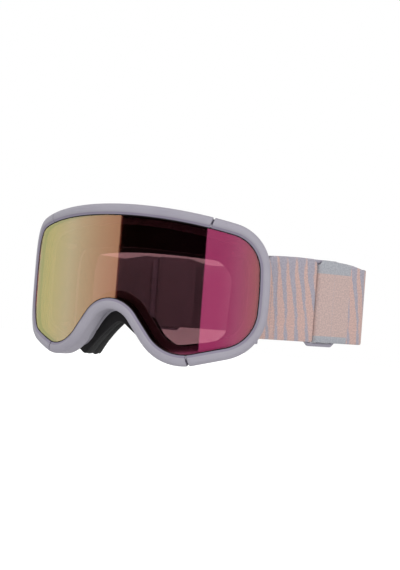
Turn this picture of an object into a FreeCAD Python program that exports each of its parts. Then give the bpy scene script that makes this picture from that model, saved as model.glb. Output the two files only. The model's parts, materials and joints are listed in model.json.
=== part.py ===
"""Ski goggles with a cylindrical lens, a face foam and an adjustable strap loop.

Row frame: millimetres, +Z up, the lens faces -Y, and +X is the side of the wearer's left
temple. The origin lies on the plane of symmetry where the fleece meets the face. The document
itself is drawn from the lens front, and the sub-parts are moved back as they are written.

The lens is a slice of a vertical cylinder. Its outline is drawn flat, with arc length across
and height up, and every wall of the rim stands square on the lens, so a wall runs straight
towards the cylinder's axis, and its faces are ruled between two smooth edges.
"""

import FreeCAD
import Part
import Sketcher
import math
import os

Vector = FreeCAD.Vector
DOC = FreeCAD.newDocument("ski_goggles")

DIMENSIONS = (
    # lens and its outline, drawn flat
    ("lens_radius", 102.0),
    ("lens_half_arc", 78.6),
    ("lens_brow", 41.7),
    ("lens_waist", 0.9),
    ("shoulder_inset", 1.9),
    ("shoulder_height", 25.4),
    ("cheek_inset", 1.2),
    ("cheek_depth", 25.3),
    ("lobe_arc", 32.2),
    ("lobe_depth", 37.1),
    ("nose_height", 3.3),
    ("brow_round", 300.0),
    ("shoulder_round", 18.8),
    ("waist_round", 161.0),
    ("cheek_round", 20.5),
    ("lobe_round", 22.0),
    ("nose_round", 19.3),
    # layers behind the lens front, measured square to the lens
    ("outer_lens_thick", 1.6),
    ("gasket_thick", 3.0),
    ("inner_lens_thick", 1.0),
    ("seal_thick", 1.2),
    ("seat_thick", 1.8),
    ("gasket_width", 3.6),
    ("seal_width", 2.6),
    ("fit_gap", 0.1),
    ("layer_gap", 0.03),
    # frame
    ("rim_proud", 1.3),
    ("rim_width", 5.6),
    ("rim_round", 2.6),
    ("rim_back_step", 0.8),
    ("rim_bevel", 1.4),
    ("lens_tuck", 2.4),
    ("wall_outset", -0.4),
    ("wall_thick", 2.2),
    ("seat_inset", 4.4),
    ("face_radius", 66.0),
    ("frame_depth", 17.0),
    ("flange_thick", 2.2),
    ("flex_groove_width", 0.9),
    ("flex_groove_depth", 1.0),
    ("upper_groove_arc", 51.1),
    ("lower_groove_arc", 43.6),
    # openings of the face side, seen from the front
    ("opening_brow", 19.6),
    ("opening_half", 49.8),
    ("opening_shoulder", 17.0),
    ("opening_cheek_inset", 1.3),
    ("opening_cheek", 26.0),
    ("opening_lobe_half", 37.0),
    ("opening_lobe_depth", 31.0),
    ("opening_nose", 27.0),
    ("opening_brow_round", 300.0),
    ("opening_shoulder_round", 14.0),
    ("opening_cheek_round", 8.0),
    ("opening_lobe_round", 4.0),
    ("opening_nose_round", 28.0),
    ("pad_brow", 33.0),
    ("pad_half", 58.5),
    ("pad_shoulder", 28.0),
    ("pad_cheek", 31.0),
    ("pad_lobe_half", 30.0),
    ("pad_lobe_depth", 38.5),
    ("pad_cheek_inset", 2.0),
    ("pad_nose", 28.5),
    ("pad_brow_round", 250.0),
    ("pad_shoulder_round", 16.0),
    ("pad_cheek_round", 15.0),
    ("pad_lobe_round", 8.0),
    ("pad_nose_round", 23.8),
    ("base_foam_thick", 6.5),
    ("contour_foam_thick", 7.0),
    ("fleece_facing_thick", 1.2),
    # vents
    ("vent_length", 11.0),
    ("vent_width", 3.6),
    ("brow_vent_pitch", 18.0),
    ("chin_vent_arc", 49.0),
    ("chin_vent_pitch", 15.0),
    ("nose_vent_arc", 23.5),
    ("nose_vent_depth", 24.0),
    ("nose_vent_length", 8.0),
    ("nose_vent_width", 2.8),
    ("nose_vent_lean", 27.0),
    ("vent_foam_thick", 1.2),
    ("vent_foam_margin", 1.0),
    # strap anchors
    ("anchor_side", 61.8),
    ("anchor_depth", 43.4),
    ("anchor_bar_radius", 1.4),
    ("ear_length", 20.0),
    ("ear_round", 2.8),
    ("ear_thick", 2.6),
    # strap
    ("strap_height", 41.0),
    ("strap_thick", 1.6),
    ("strap_drop", 2.8),
    ("strap_gap", 0.3),
    ("hem_length", 12.0),
    ("temple_fold_side", 97.0),
    ("temple_fold_depth", 102.0),
    ("rear_bend_side", -17.0),
    ("rear_bend_depth", 164.0),
    ("left_bend_side", -77.0),
    ("left_bend_depth", 128.5),
    ("temple_fold_round", 9.0),
    ("rear_bend_round", 42.0),
    ("left_bend_round", 12.0),
    ("right_slider_place", 38.4),
    ("left_slider_place", 24.4),
    ("tail_length", 19.0),
    # sliders
    ("slider_length", 25.0),
    ("slider_height", 46.6),
    ("slider_thick", 2.0),
    ("slider_bar", 3.6),
    ("slider_rail", 2.3),
    ("slider_chamfer", 3.2),
    ("slider_bar_half", 1.1),
    # grip print
    ("grip_stripe", 1.2),
    ("grip_pitch", 5.0),
    ("grip_proud", 0.35),
    ("grip_count", 12.0),
)


def make_sheet():
    """Put every driving dimension into the spreadsheet, one row and one alias each."""
    sheet = DOC.addObject("Spreadsheet::Sheet", "dims")
    for row, (alias, value) in enumerate(DIMENSIONS, start=1):
        sheet.set("A%d" % row, alias)
        sheet.set("B%d" % row, str(value))
        sheet.setAlias("B%d" % row, alias)
    DOC.recompute()
    return sheet


SHEET = make_sheet()


def dim(alias):
    """Read one driving dimension from the sheet."""
    return float(SHEET.get(alias))


# ---------------------------------------------------------------- flat geometry helpers


def turn_of(before, corner, after):
    """Signed turn in radians at a corner of a flat route, positive to the left."""
    heading_in = math.atan2(corner[1] - before[1], corner[0] - before[0])
    heading_out = math.atan2(after[1] - corner[1], after[0] - corner[0])
    return (heading_out - heading_in + math.pi) % (2 * math.pi) - math.pi


def shifted_corners(points, shift, closed):
    """Corners of the route that runs a distance to the left of the given one."""
    count = len(points)
    moved = []
    for index, corner in enumerate(points):
        before = points[index - 1] if closed or index > 0 else None
        after = points[(index + 1) % count] if closed or index < count - 1 else None
        sides = []
        for start, end in ((before, corner), (corner, after)):
            if start is None or end is None:
                continue
            length = math.hypot(end[0] - start[0], end[1] - start[1])
            sides.append((-(end[1] - start[1]) / length, (end[0] - start[0]) / length))
        if len(sides) == 1:
            normal = sides[0]
            scale = shift
        else:
            normal = (sides[0][0] + sides[1][0], sides[0][1] + sides[1][1])
            scale = shift / (1 + sides[0][0] * sides[1][0] + sides[0][1] * sides[1][1])
        moved.append((corner[0] + normal[0] * scale, corner[1] + normal[1] * scale))
    return moved


def rounded_route(points, rounds, shift=0.0, closed=False):
    """Straight runs joined by tangent arcs, as a list of ('line', a, b) and ('arc', a, m, b).

    Each corner has a radius in rounds. A shift to the left keeps the arcs concentric.
    """
    count = len(points)
    corners = shifted_corners(points, shift, closed)
    arcs = []
    for index, corner in enumerate(corners):
        inner = closed or 0 < index < count - 1
        if not inner:
            arcs.append((corner, None, corner))
            continue
        before = corners[index - 1]
        after = corners[(index + 1) % count]
        turn = turn_of(before, corner, after)
        radius = rounds[index] - math.copysign(shift, turn * shift)
        reach = radius * math.tan(abs(turn) / 2)
        into = (corner[0] - before[0], corner[1] - before[1])
        out = (after[0] - corner[0], after[1] - corner[1])
        into_len = math.hypot(*into)
        out_len = math.hypot(*out)
        start = (corner[0] - into[0] / into_len * reach, corner[1] - into[1] / into_len * reach)
        end = (corner[0] + out[0] / out_len * reach, corner[1] + out[1] / out_len * reach)
        bisector = (out[0] / out_len - into[0] / into_len, out[1] / out_len - into[1] / into_len)
        length = math.hypot(*bisector)
        depth = radius / math.cos(turn / 2) - radius
        middle = (corner[0] + bisector[0] / length * depth, corner[1] + bisector[1] / length * depth)
        arcs.append((start, middle, end))
    pieces = []
    steps = count if closed else count - 1
    for index in range(count):
        start, middle, end = arcs[index]
        if middle is not None:
            pieces.append(("arc", start, middle, end))
        if index < steps:
            pieces.append(("line", end, arcs[(index + 1) % count][0]))
    return pieces


def mirrored(half):
    """Close a half outline, listed from the top down, over the plane of symmetry."""
    return half + [(-x, z) for x, z in reversed(half[1:-1])]


# ---------------------------------------------------------------- document helpers


def feature(name, shape):
    """Add a shape that Part's own functions made to the document."""
    item = DOC.addObject("Part::Feature", name)
    item.Shape = shape
    return item


def boolean(kind, name, first, others):
    """Fuse, cut or intersect document objects and return the result object."""
    if kind == "Cut":
        result = first
        for index, tool in enumerate(others):
            step = DOC.addObject("Part::Cut", "%s_%d" % (name, index))
            step.Base = result
            step.Tool = tool
            result = step
        return result
    item = DOC.addObject("Part::Multi" + kind, name)
    item.Shapes = [first] + list(others)
    return item


def face_prism(name, pieces, plane_y, length):
    """Extrude a closed flat outline of the front view towards the face, along +Y."""
    edges = []
    for piece in pieces:
        points = [Vector(x, plane_y, z) for x, z in piece[1:]]
        if piece[0] == "line":
            edges.append(Part.LineSegment(*points).toShape())
        else:
            edges.append(Part.Arc(*points).toShape())
    outline = feature(name + "_outline", Part.Wire(Part.__sortEdges__(edges)))
    prism = DOC.addObject("Part::Extrusion", name)
    prism.Base = outline
    prism.DirMode = "Custom"
    prism.Dir = Vector(0, 1, 0)
    prism.LengthFwd = length
    prism.Solid = True
    return prism


def upright_cylinder(name, radius_rule, front_rule):
    """Vertical cylinder whose front line lies at front_rule on the plane of symmetry."""
    item = DOC.addObject("Part::Cylinder", name)
    item.setExpression("Radius", radius_rule)
    item.Height = 160
    item.Placement.Base = Vector(0, 0, -80)
    item.setExpression(".Placement.Base.y", "(%s) + (%s)" % (front_rule, radius_rule))
    return item


def lens_outline():
    """Corners and radii of the lens outline, drawn flat."""
    half_arc = dim("lens_half_arc")
    half = [
        (0.0, dim("lens_brow")),
        (half_arc - dim("shoulder_inset"), dim("shoulder_height")),
        (half_arc, dim("lens_waist")),
        (half_arc - dim("cheek_inset"), -dim("cheek_depth")),
        (dim("lobe_arc"), -dim("lobe_depth")),
        (0.0, dim("nose_height")),
    ]
    names = ("brow_round", "shoulder_round", "waist_round", "cheek_round", "lobe_round", "nose_round")
    rounds = [dim(name) for name in names]
    return mirrored(half), rounds + rounds[-2:0:-1]


def outline_spots(outset):
    """Points along the flat lens outline, moved out by outset, evenly shared on each piece.

    The shares come from the outline itself, so every outset has the same number of points.
    """
    points, rounds = lens_outline()
    spots = []
    joints = []
    # the outline runs clockwise, so its left side is the outside
    moved = rounded_route(points, rounds, outset, closed=True)
    for base, piece in zip(rounded_route(points, rounds, 0.0, closed=True), moved):
        if base[0] == "arc":
            joints.append(len(spots))
        if base[0] == "line":
            count = max(1, round(math.dist(base[1], base[2]) / 6))
            for step in range(count):
                share = step / count
                spots.append(tuple(a + (b - a) * share for a, b in zip(piece[1], piece[2])))
            continue
        base_arc, arc = (Part.Arc(*(Vector(x, z, 0) for x, z in item[1:])) for item in (base, piece))
        count = max(3, round(base_arc.length() / 5))
        for step in range(count):
            share = arc.FirstParameter + (arc.LastParameter - arc.FirstParameter) * step / count
            spot = arc.value(share)
            spots.append((spot.x, spot.y))
    return spots, joints


def smooth_edges(spots, joints):
    """Edges of one closed smooth curve through the given points, split at the joints."""
    curve = Part.BSplineCurve()
    curve.interpolate(Points=[Vector(*spot) for spot in spots], PeriodicFlag=True)
    knots = curve.getKnots()
    edges = []
    for start, end in zip(joints, joints[1:] + [len(spots)]):
        stretch = curve.copy()
        stretch.segment(knots[start], knots[end])
        edges.append(stretch.toShape())
    return edges


def ruled_faces(first, second):
    """Straight walls between matching edges of two closed curves."""
    return [Part.makeRuledSurface(one, other) for one, other in zip(first, second)]


def sewn_solid(name, faces):
    """One solid inside the given faces, as a document object."""
    shell = Part.Shell(faces)
    shell.sewShape()
    return feature(name, Part.Solid(shell))


def lens_wedge(name, outset):
    """Solid inside the walls that stand square on the lens, between two upright planes."""
    radius = dim("lens_radius")
    flat, joints = outline_spots(outset)
    ends = []
    for plane_y in (-8.0, 52.0):
        reach = radius - plane_y
        spots = [(reach * math.tan(s / radius), plane_y, z) for s, z in flat]
        ends.append(smooth_edges(spots, joints))
    caps = [Part.Face(Part.Wire(edges)) for edges in ends]
    return sewn_solid(name, ruled_faces(*ends) + caps)


def lens_ring(name, profile):
    """Ring round the lens whose cross-section has the given (outset, inward) corners."""
    curves = []
    for outset, inward in profile:
        flat, joints = outline_spots(outset)
        curves.append(smooth_edges([on_lens(s, inward, z) for s, z in flat], joints))
    faces = []
    for first, second in zip(curves, curves[1:] + curves[:1]):
        faces += ruled_faces(first, second)
    return sewn_solid(name, faces)


def on_lens(arc, inward, height):
    """Point a distance inside the lens front, at an arc length from the middle."""
    radius = dim("lens_radius")
    angle = arc / radius
    reach = radius - inward
    return (reach * math.sin(angle), radius - reach * math.cos(angle), height)


def box(name, centre, size, angle=0.0):
    """Box about its centre, turned about the vertical axis by an angle in degrees."""
    item = DOC.addObject("Part::Box", name)
    item.Length, item.Width, item.Height = size
    turn = FreeCAD.Rotation(Vector(0, 0, 1), angle)
    corner = turn.multVec(Vector(-size[0] / 2, -size[1] / 2, -size[2] / 2))
    item.Placement = FreeCAD.Placement(Vector(*centre) + corner, turn)
    return item


# ---------------------------------------------------------------- shared solids


def stack_levels():
    """Distance from the lens front to the back of each layer behind it."""
    levels = {}
    total = 0.0
    for name in ("outer_lens", "gasket", "inner_lens", "seal", "seat"):
        total += dim(name + "_thick")
        levels[name] = total
    return levels


def face_cylinder(name, shift_rule):
    """Vertical cylinder that gives the face side its curve, moved back by a rule."""
    return upright_cylinder(name, "dims.face_radius", "dims.frame_depth + %s" % shift_rule)


def face_outline(name):
    """Front view of the opening through the foam, or of the foam's outer edge."""
    half = [
        (0.0, dim(name + "_brow")),
        (dim(name + "_half"), dim(name + "_shoulder")),
        (dim(name + "_half") - dim(name + "_cheek_inset"), -dim(name + "_cheek")),
        (dim(name + "_lobe_half"), -dim(name + "_lobe_depth")),
        (0.0, dim(name + "_nose")),
    ]
    corners = ("brow", "shoulder", "cheek", "lobe", "nose")
    rounds = [dim("%s_%s_round" % (name, corner)) for corner in corners]
    return rounded_route(mirrored(half), rounds + rounds[-2:0:-1], closed=True)


# ---------------------------------------------------------------- frame


def vent_places():
    """Arc, height sign and row of each ventilation slot behind the rim."""
    pitch = dim("brow_vent_pitch")
    brow = [(pitch * step, 1) for step in (-2, -1, 0, 1, 2)]
    chin = []
    for side in (-1, 1):
        for step in (-0.5, 0.5):
            chin.append((side * (dim("chin_vent_arc") + step * dim("chin_vent_pitch")), -1))
    return brow, chin


def vent_cutters():
    """Boxes that cut the slots through the upper and lower walls."""
    brow, chin = vent_places()
    inward = vent_inward()
    cutters = []
    for index, (arc, side) in enumerate(brow + chin):
        spot = on_lens(arc, inward, side * (dim("lens_brow") - 8.0))
        angle = math.degrees(arc / dim("lens_radius"))
        size = (dim("vent_length"), dim("vent_width"), 16.0)
        cutters.append(box("vent_cut_%d" % index, spot, size, angle))
    return cutters


def nose_box(name, side, size):
    """Box on a nose wall that leans with the wall, side is -1 or 1."""
    item = DOC.addObject("Part::Box", name)
    item.Length, item.Width, item.Height = size
    turn = FreeCAD.Rotation(Vector(0, 1, 0), side * dim("nose_vent_lean"))
    corner = turn.multVec(Vector(-size[0] / 2, -size[1] / 2, -size[2] / 2))
    spot = Vector(*on_lens(side * dim("nose_vent_arc"), vent_inward(), -dim("nose_vent_depth")))
    item.Placement = FreeCAD.Placement(spot + corner, turn)
    return item


def nose_cutters():
    """Boxes that cut the slot through each nose wall."""
    size = (14.0, dim("nose_vent_width"), dim("nose_vent_length"))
    return [nose_box("nose_cut_%d" % side, side, size) for side in (-1, 1)]


def vent_inward():
    """Depth of the vent slots' middle, halfway between the seat and the flange."""
    flange_front = dim("frame_depth") - dim("flange_thick")
    return (stack_levels()["seat"] + flange_front) / 2


def flex_cutters():
    """Narrow boxes across the rim that let it flex at four places."""
    width = dim("flex_groove_width")
    depth = dim("flex_groove_depth")
    cutters = []
    for index, (arc, top) in enumerate(((dim("upper_groove_arc"), 1), (dim("lower_groove_arc"), -1))):
        for side in (-1, 1):
            angle = math.degrees(side * arc / dim("lens_radius"))
            height = top * (dim("lens_brow") - 6.0)
            front = on_lens(side * arc, -dim("rim_proud"), height)
            name = "flex_cut_%d_%d" % (index, side)
            cutters.append(box(name, front, (width, 2 * depth, 24.0), angle))
    return cutters


def anchor_spot(side):
    """Axis of a strap anchor bar in plan, side is -1 or 1."""
    return (side * dim("anchor_side"), dim("anchor_depth"))


def ears():
    """Lugs behind the rim that hold the ends of both anchor bars, trimmed to the wall.

    Each is a block that lies along the lens, from the wall out to a round end on its bar.
    """
    clear = lens_wedge("ear_clear", dim("wall_outset") - dim("wall_thick") / 2)
    reach = dim("strap_height") / 2 + dim("strap_gap") + dim("ear_thick") / 2
    back = dim("ear_length") / 2
    lugs = []
    for side in (-1, 1):
        x, y = anchor_spot(side)
        angle = math.atan2(x, dim("lens_radius") - y)
        centre_x = x - side * math.cos(angle) * back
        centre_y = y - abs(math.sin(angle)) * back
        for end in (-1, 1):
            middle = end * reach - dim("strap_drop")
            size = (dim("ear_length"), 2 * dim("ear_round"), dim("ear_thick"))
            name = "ear_%d_%d" % (side, end)
            lug = box(name, (centre_x, centre_y, middle), size, math.degrees(angle))
            lugs.append(boolean("Cut", name + "_trimmed", lug, [clear]))
            tip = DOC.addObject("Part::Cylinder", name + "_end")
            tip.Radius = dim("ear_round")
            tip.Height = dim("ear_thick")
            tip.Placement.Base = Vector(x, y, middle - dim("ear_thick") / 2)
            lugs.append(tip)
    return lugs


def bar_solid(side, name):
    """Upright bar through both lugs, as a solid or as the tool that bores them."""
    x, y = anchor_spot(side)
    item = DOC.addObject("Part::Cylinder", name)
    item.setExpression("Radius", "dims.anchor_bar_radius")
    rule = "dims.strap_height + 2 * dims.strap_gap + 1.6 * dims.ear_thick"
    item.setExpression("Height", rule)
    item.Placement.Base = Vector(x, y, 0)
    item.setExpression(".Placement.Base.z", "-dims.strap_drop - (%s) / 2" % rule)
    return item


def rim_profile():
    """Cross-section of the rim, lens groove and seat, as (outset, inward) corners.

    It runs from the back of the rim over its rounded outer edge to the bevel at the lens,
    then round the groove that holds the lens stack and back along the seat.
    """
    levels = stack_levels()
    outer = dim("rim_width")
    proud = dim("rim_proud")
    round_over = dim("rim_round")
    gap = dim("fit_gap")
    profile = [(outer - dim("rim_back_step"), levels["seat"]), (outer, levels["seal"])]
    steps = 5
    for step in range(steps + 1):
        angle = math.pi / 2 * step / steps
        outset = outer - round_over * (1 - math.cos(angle))
        profile.append((outset, -proud + round_over * (1 - math.sin(angle))))
    profile += [
        (dim("rim_bevel"), -proud),
        (0.0, -gap - 0.3),
        (0.0, -gap),
        (dim("lens_tuck") + gap, -gap),
        (dim("lens_tuck") + gap, levels["seal"]),
        (-dim("seat_inset"), levels["seal"]),
        (-dim("seat_inset"), levels["seat"]),
    ]
    return profile


def wall_profile():
    """Cross-section of the wall, from inside the seat to behind the flange."""
    outer = dim("wall_outset")
    inner = outer - dim("wall_thick")
    start = stack_levels()["seal"] + 0.6
    end = dim("frame_depth") + 22.0
    return [(outer, start), (outer, end), (inner, end), (inner, start)]


def make_front_frame():
    """The moulded frame: rim, lens groove, seat, wall, flange and anchor lugs."""
    rim = lens_ring("rim", rim_profile())
    wall = lens_ring("wall", wall_profile())
    flange_back = face_cylinder("flange_back", "0")
    wall = boolean("Cut", "wall_trimmed", wall, [flange_back])
    pad = face_prism("pad_block", face_outline("pad"), 0.0, 90.0)
    opening = face_prism("opening_block", face_outline("opening"), -20.0, 110.0)
    front = face_cylinder("flange_front", "-dims.flange_thick")
    flange = boolean("Common", "flange_slice", pad, [front])
    flange = boolean("Cut", "flange", flange, [flange_back, opening])
    lugs = ears()
    blank = boolean("Fuse", "frame_blank", rim, [wall, flange] + lugs)
    cuts = flex_cutters() + vent_cutters() + nose_cutters()
    cuts += [bar_solid(side, "bar_hole_%d" % side) for side in (-1, 1)]
    cutter = boolean("Fuse", "frame_cutters", cuts[0], cuts[1:])
    frame = boolean("Cut", "frame_cut", blank, [cutter])
    frame.Label = "front_frame"
    return frame, pad, opening


def cylinder_sheet(name, near, far):
    """Upright tube between two distances inside the lens front."""
    outer = upright_cylinder(name + "_near", "dims.lens_radius - %g" % near, "%g" % near)
    inner = upright_cylinder(name + "_far", "dims.lens_radius - %g" % far, "%g" % far)
    return boolean("Cut", name + "_sheet", outer, [inner])


def make_lens_stack():
    """Outer lens, spacer gasket, inner lens and rear seal, face to face."""
    levels = stack_levels()
    edge = dim("lens_tuck")
    made = []
    for label, near, far in (
        ("outer_lens", 0.0, levels["outer_lens"]),
        ("inner_lens", levels["gasket"], levels["inner_lens"]),
    ):
        blank = lens_wedge(label + "_wedge", edge)
        item = boolean("Common", label + "_cut", blank, [cylinder_sheet(label, near, far)])
        item.Label = label
        made.append(item)
    for label, width, front, back in (
        ("lens_spacer", dim("gasket_width"), levels["outer_lens"], levels["gasket"]),
        ("lens_seal", dim("seal_width"), levels["inner_lens"], levels["seal"]),
    ):
        inner = edge - width
        near = front + dim("layer_gap")
        far = back - dim("layer_gap")
        item = lens_ring(label + "_ring", [(edge, near), (edge, far), (inner, far), (inner, near)])
        item.Label = label
        made.append(item)
    return made


def make_foams(pad, opening):
    """Base foam, contour foam and fleece facing behind the flange."""
    made = []
    rule = "0"
    for label in ("base_foam", "contour_foam", "fleece_facing"):
        front = face_cylinder(label + "_front", rule)
        rule += " + dims.%s_thick" % label
        back = face_cylinder(label + "_back", rule)
        body = boolean("Common", label + "_slice", pad, [front])
        item = boolean("Cut", label + "_cut", body, [back, opening])
        item.Label = label
        made.append(item)
    return made


def make_vent_foams():
    """Strips of open foam glued inside the wall over the vent slots."""
    brow, chin = vent_places()
    margin = dim("vent_foam_margin")
    half = dim("vent_width") / 2 + margin
    outer = dim("wall_outset") - dim("wall_thick") - dim("fit_gap")
    inner = outer - dim("vent_foam_thick")
    middle = vent_inward()
    near = middle - half
    far = middle + half
    band = lens_ring("vent_foam_band", [(outer, near), (outer, far), (inner, far), (inner, near)])
    made = []
    half_chin = (dim("chin_vent_pitch") + dim("vent_length")) / 2 + margin
    half_brow = 2 * dim("brow_vent_pitch") + dim("vent_length") / 2 + margin
    spans = (
        ("brow_vent_foam", 0.0, half_brow, 1),
        ("chin_vent_foam_right", dim("chin_vent_arc"), half_chin, -1),
        ("chin_vent_foam_left", -dim("chin_vent_arc"), half_chin, -1),
    )
    for label, arc, reach, side in spans:
        spot = on_lens(arc, middle, side * dim("lens_brow"))
        angle = math.degrees(arc / dim("lens_radius"))
        span = 2 * reach * (1 - middle / dim("lens_radius"))
        trim = box(label + "_trim", spot, (span, 60.0, 34.0), angle)
        item = boolean("Common", label + "_part", band, [trim])
        item.Label = label
        made.append(item)
    size = (16.0, 40.0, dim("nose_vent_length") + 2 * margin)
    for side, word in ((1, "right"), (-1, "left")):
        trim = nose_box("nose_trim_%s" % word, side, size)
        item = boolean("Common", "nose_vent_foam_%s_part" % word, band, [trim])
        item.Label = "nose_vent_foam_%s" % word
        made.append(item)
    return made


# ---------------------------------------------------------------- strap loop


def strap_corners():
    """Plan of the strap loop from the right anchor round the back to the left one."""
    points = [
        anchor_spot(1),
        (dim("temple_fold_side"), dim("temple_fold_depth")),
        (dim("rear_bend_side"), dim("rear_bend_depth")),
        (dim("left_bend_side"), dim("left_bend_depth")),
        anchor_spot(-1),
    ]
    names = ("temple_fold_round", "rear_bend_round", "left_bend_round")
    return points, [0.0] + [dim(name) for name in names] + [0.0]


def heading(start, end):
    """Unit vector from one plan point to another."""
    length = math.dist(start, end)
    return ((end[0] - start[0]) / length, (end[1] - start[1]) / length)


def slider_frames():
    """Centre and heading of each slider: right on its run to the fold, left past its bend."""
    points, _rounds = strap_corners()
    run = heading(points[0], points[1])
    place = dim("right_slider_place")
    right = (points[0][0] + run[0] * place, points[0][1] + run[1] * place)
    back = heading(points[3], points[2])
    place = dim("left_slider_place")
    left = (points[3][0] + back[0] * place, points[3][1] + back[1] * place)
    return {1: (right, run), -1: (left, back)}


def local_point(centre, along, ahead, outward, side):
    """Plan point ahead of a slider's centre and outward from the loop."""
    normal = (along[1] * side, -along[0] * side)
    x = centre[0] + along[0] * ahead + normal[0] * outward
    y = centre[1] + along[1] * ahead + normal[1] * outward
    return (x, y)


def band(name, corners, rounds, thick, bottom, height):
    """Upright strip of webbing that follows a plan route."""
    left = rounded_route(corners, rounds, thick / 2)
    right = rounded_route(corners, rounds, -thick / 2)
    edges = []
    for piece in left + right:
        points = [Vector(x, y, bottom) for x, y in piece[1:]]
        if piece[0] == "line":
            edges.append(Part.LineSegment(*points).toShape())
        else:
            edges.append(Part.Arc(*points).toShape())
    for end in (0, -1):
        first = left[end][1] if end == 0 else left[end][-1]
        second = right[end][1] if end == 0 else right[end][-1]
        edges.append(Part.LineSegment(Vector(*first, bottom), Vector(*second, bottom)).toShape())
    outline = feature(name + "_plan", Part.Wire(Part.__sortEdges__(edges)))
    strip = DOC.addObject("Part::Extrusion", name)
    strip.Base = outline
    strip.DirMode = "Custom"
    strip.Dir = Vector(0, 0, 1)
    strip.LengthFwd = height
    strip.Solid = True
    return strip


def ring(name, centre, inner, outer, bottom, height):
    """Upright sleeve about a bar."""
    solids = []
    for part, radius in (("outer", outer), ("inner", inner)):
        item = DOC.addObject("Part::Cylinder", "%s_%s" % (name, part))
        item.Radius = radius
        item.Height = height
        item.Placement.Base = Vector(centre[0], centre[1], bottom)
        solids.append(item)
    return boolean("Cut", name, solids[0], [solids[1]])


def strap_bottom():
    """Height of the strap's lower edge."""
    return -dim("strap_drop") - dim("strap_height") / 2


def bar_clearance():
    """Inner radius of a loop that turns freely about a slider's centre bar."""
    return math.hypot(dim("slider_bar_half"), dim("slider_thick") / 2) + dim("strap_gap")


def layer_offset():
    """Distance from the slider's mid-plane to the middle of a strap layer that passes it."""
    return dim("slider_thick") / 2 + dim("strap_gap") + dim("strap_thick") / 2


def make_side_strap(side, word):
    """Front strap: a sewn loop on the anchor bar, a run to the slider and its tail.

    It passes outside the slider's front bar, dives through the front window, crosses the
    centre bar on the inside and lies inside the rear strap to its end.
    """
    points, rounds = strap_corners()
    centre, along = slider_frames()[side]
    thick = dim("strap_thick")
    gap = dim("strap_gap")
    offset = layer_offset()
    low = strap_bottom()
    height = dim("strap_height")
    bar = anchor_spot(side)
    loop_inner = dim("anchor_bar_radius") + gap
    bar_loop = bar_clearance() + thick
    crossing = -(bar_loop + gap + thick / 2)
    window = dim("slider_length") / 2 - dim("slider_bar") - thick
    route = [
        local_point(centre, along, -window, offset, side),
        local_point(centre, along, -1.2 * thick, crossing, side),
        local_point(centre, along, dim("tail_length"), crossing, side),
    ]
    turns = [2.0, 3.0, 0.0]
    if side > 0:
        run = heading(points[0], points[1])
        start = local_point(bar, run, loop_inner + thick / 2, offset, side)
        corners = [start] + route
        turns = [0.0] + turns
    else:
        run = heading(bar, points[3])
        start = local_point(bar, run, loop_inner + thick / 2, offset, side)
        bend = shifted_corners([bar, points[3], points[2]], offset, False)[1]
        corners = [start, bend] + route
        turns = [0.0, rounds[3] + offset] + turns
    strip = band("side_strap_%s_run" % word, corners, turns, thick, low, height)
    sleeve = ring("side_strap_%s_loop" % word, bar, loop_inner, loop_inner + thick, low, height)
    hem_start = local_point(bar, run, loop_inner + thick / 2, 0.0, side)
    hem_end = local_point(bar, run, loop_inner + dim("hem_length"), 0.0, side)
    shift = (offset - thick / 2) / 2
    hem_points = [
        local_point(hem_start, run, 0.0, shift, side),
        local_point(hem_end, run, 0.0, shift, side),
    ]
    hem = band("side_strap_%s_hem" % word, hem_points, [0.0, 0.0], offset + thick / 2, low, height)
    strap = boolean("Fuse", "side_strap_%s_all" % word, sleeve, [strip, hem])
    bore = DOC.addObject("Part::Cylinder", "side_strap_%s_bore" % word)
    bore.Radius = loop_inner
    bore.Height = height + 4.0
    bore.Placement.Base = Vector(bar[0], bar[1], low - 2.0)
    strap = boolean("Cut", "side_strap_%s_bored" % word, strap, [bore])
    strap.Label = "side_strap_%s" % word
    return strap


def make_rear_strap():
    """Rear strap: sewn round the centre bar of each slider, outside the side straps' tails."""
    points, rounds = strap_corners()
    frames = slider_frames()
    thick = dim("strap_thick")
    gap = dim("strap_gap")
    offset = layer_offset()
    low = strap_bottom()
    height = dim("strap_height")
    inner = bar_clearance()
    loops = []
    bores = []
    for side, word in ((1, "right"), (-1, "left")):
        centre, _along = frames[side]
        loops.append(ring("rear_loop_%s" % word, centre, inner, inner + thick, low, height))
        bore = DOC.addObject("Part::Cylinder", "rear_bore_%s" % word)
        bore.Radius = inner
        bore.Height = height + 4.0
        bore.Placement.Base = Vector(centre[0], centre[1], low - 2.0)
        bores.append(bore)
    window = dim("slider_length") / 2 - dim("slider_bar") - thick
    right_centre, right_run = frames[1]
    left_centre, left_run = frames[-1]
    loop = shifted_corners(points, -offset, False)
    lead = inner + thick / 2
    corners = [
        local_point(right_centre, right_run, 0.6, lead, 1),
        local_point(right_centre, right_run, window, offset, 1),
        loop[1],
        loop[2],
        local_point(left_centre, left_run, window, offset, -1),
        local_point(left_centre, left_run, 0.6, lead, -1),
    ]
    turns = [0.0, 4.0, rounds[1] + offset, rounds[2] + offset, 4.0, 0.0]
    strip = band("rear_strap_run", corners, turns, thick, low, height)
    strap = boolean("Fuse", "rear_strap_all", strip, loops)
    strap = boolean("Cut", "rear_strap_bored", strap, bores)
    strap.Label = "rear_strap"
    return strap


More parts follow.
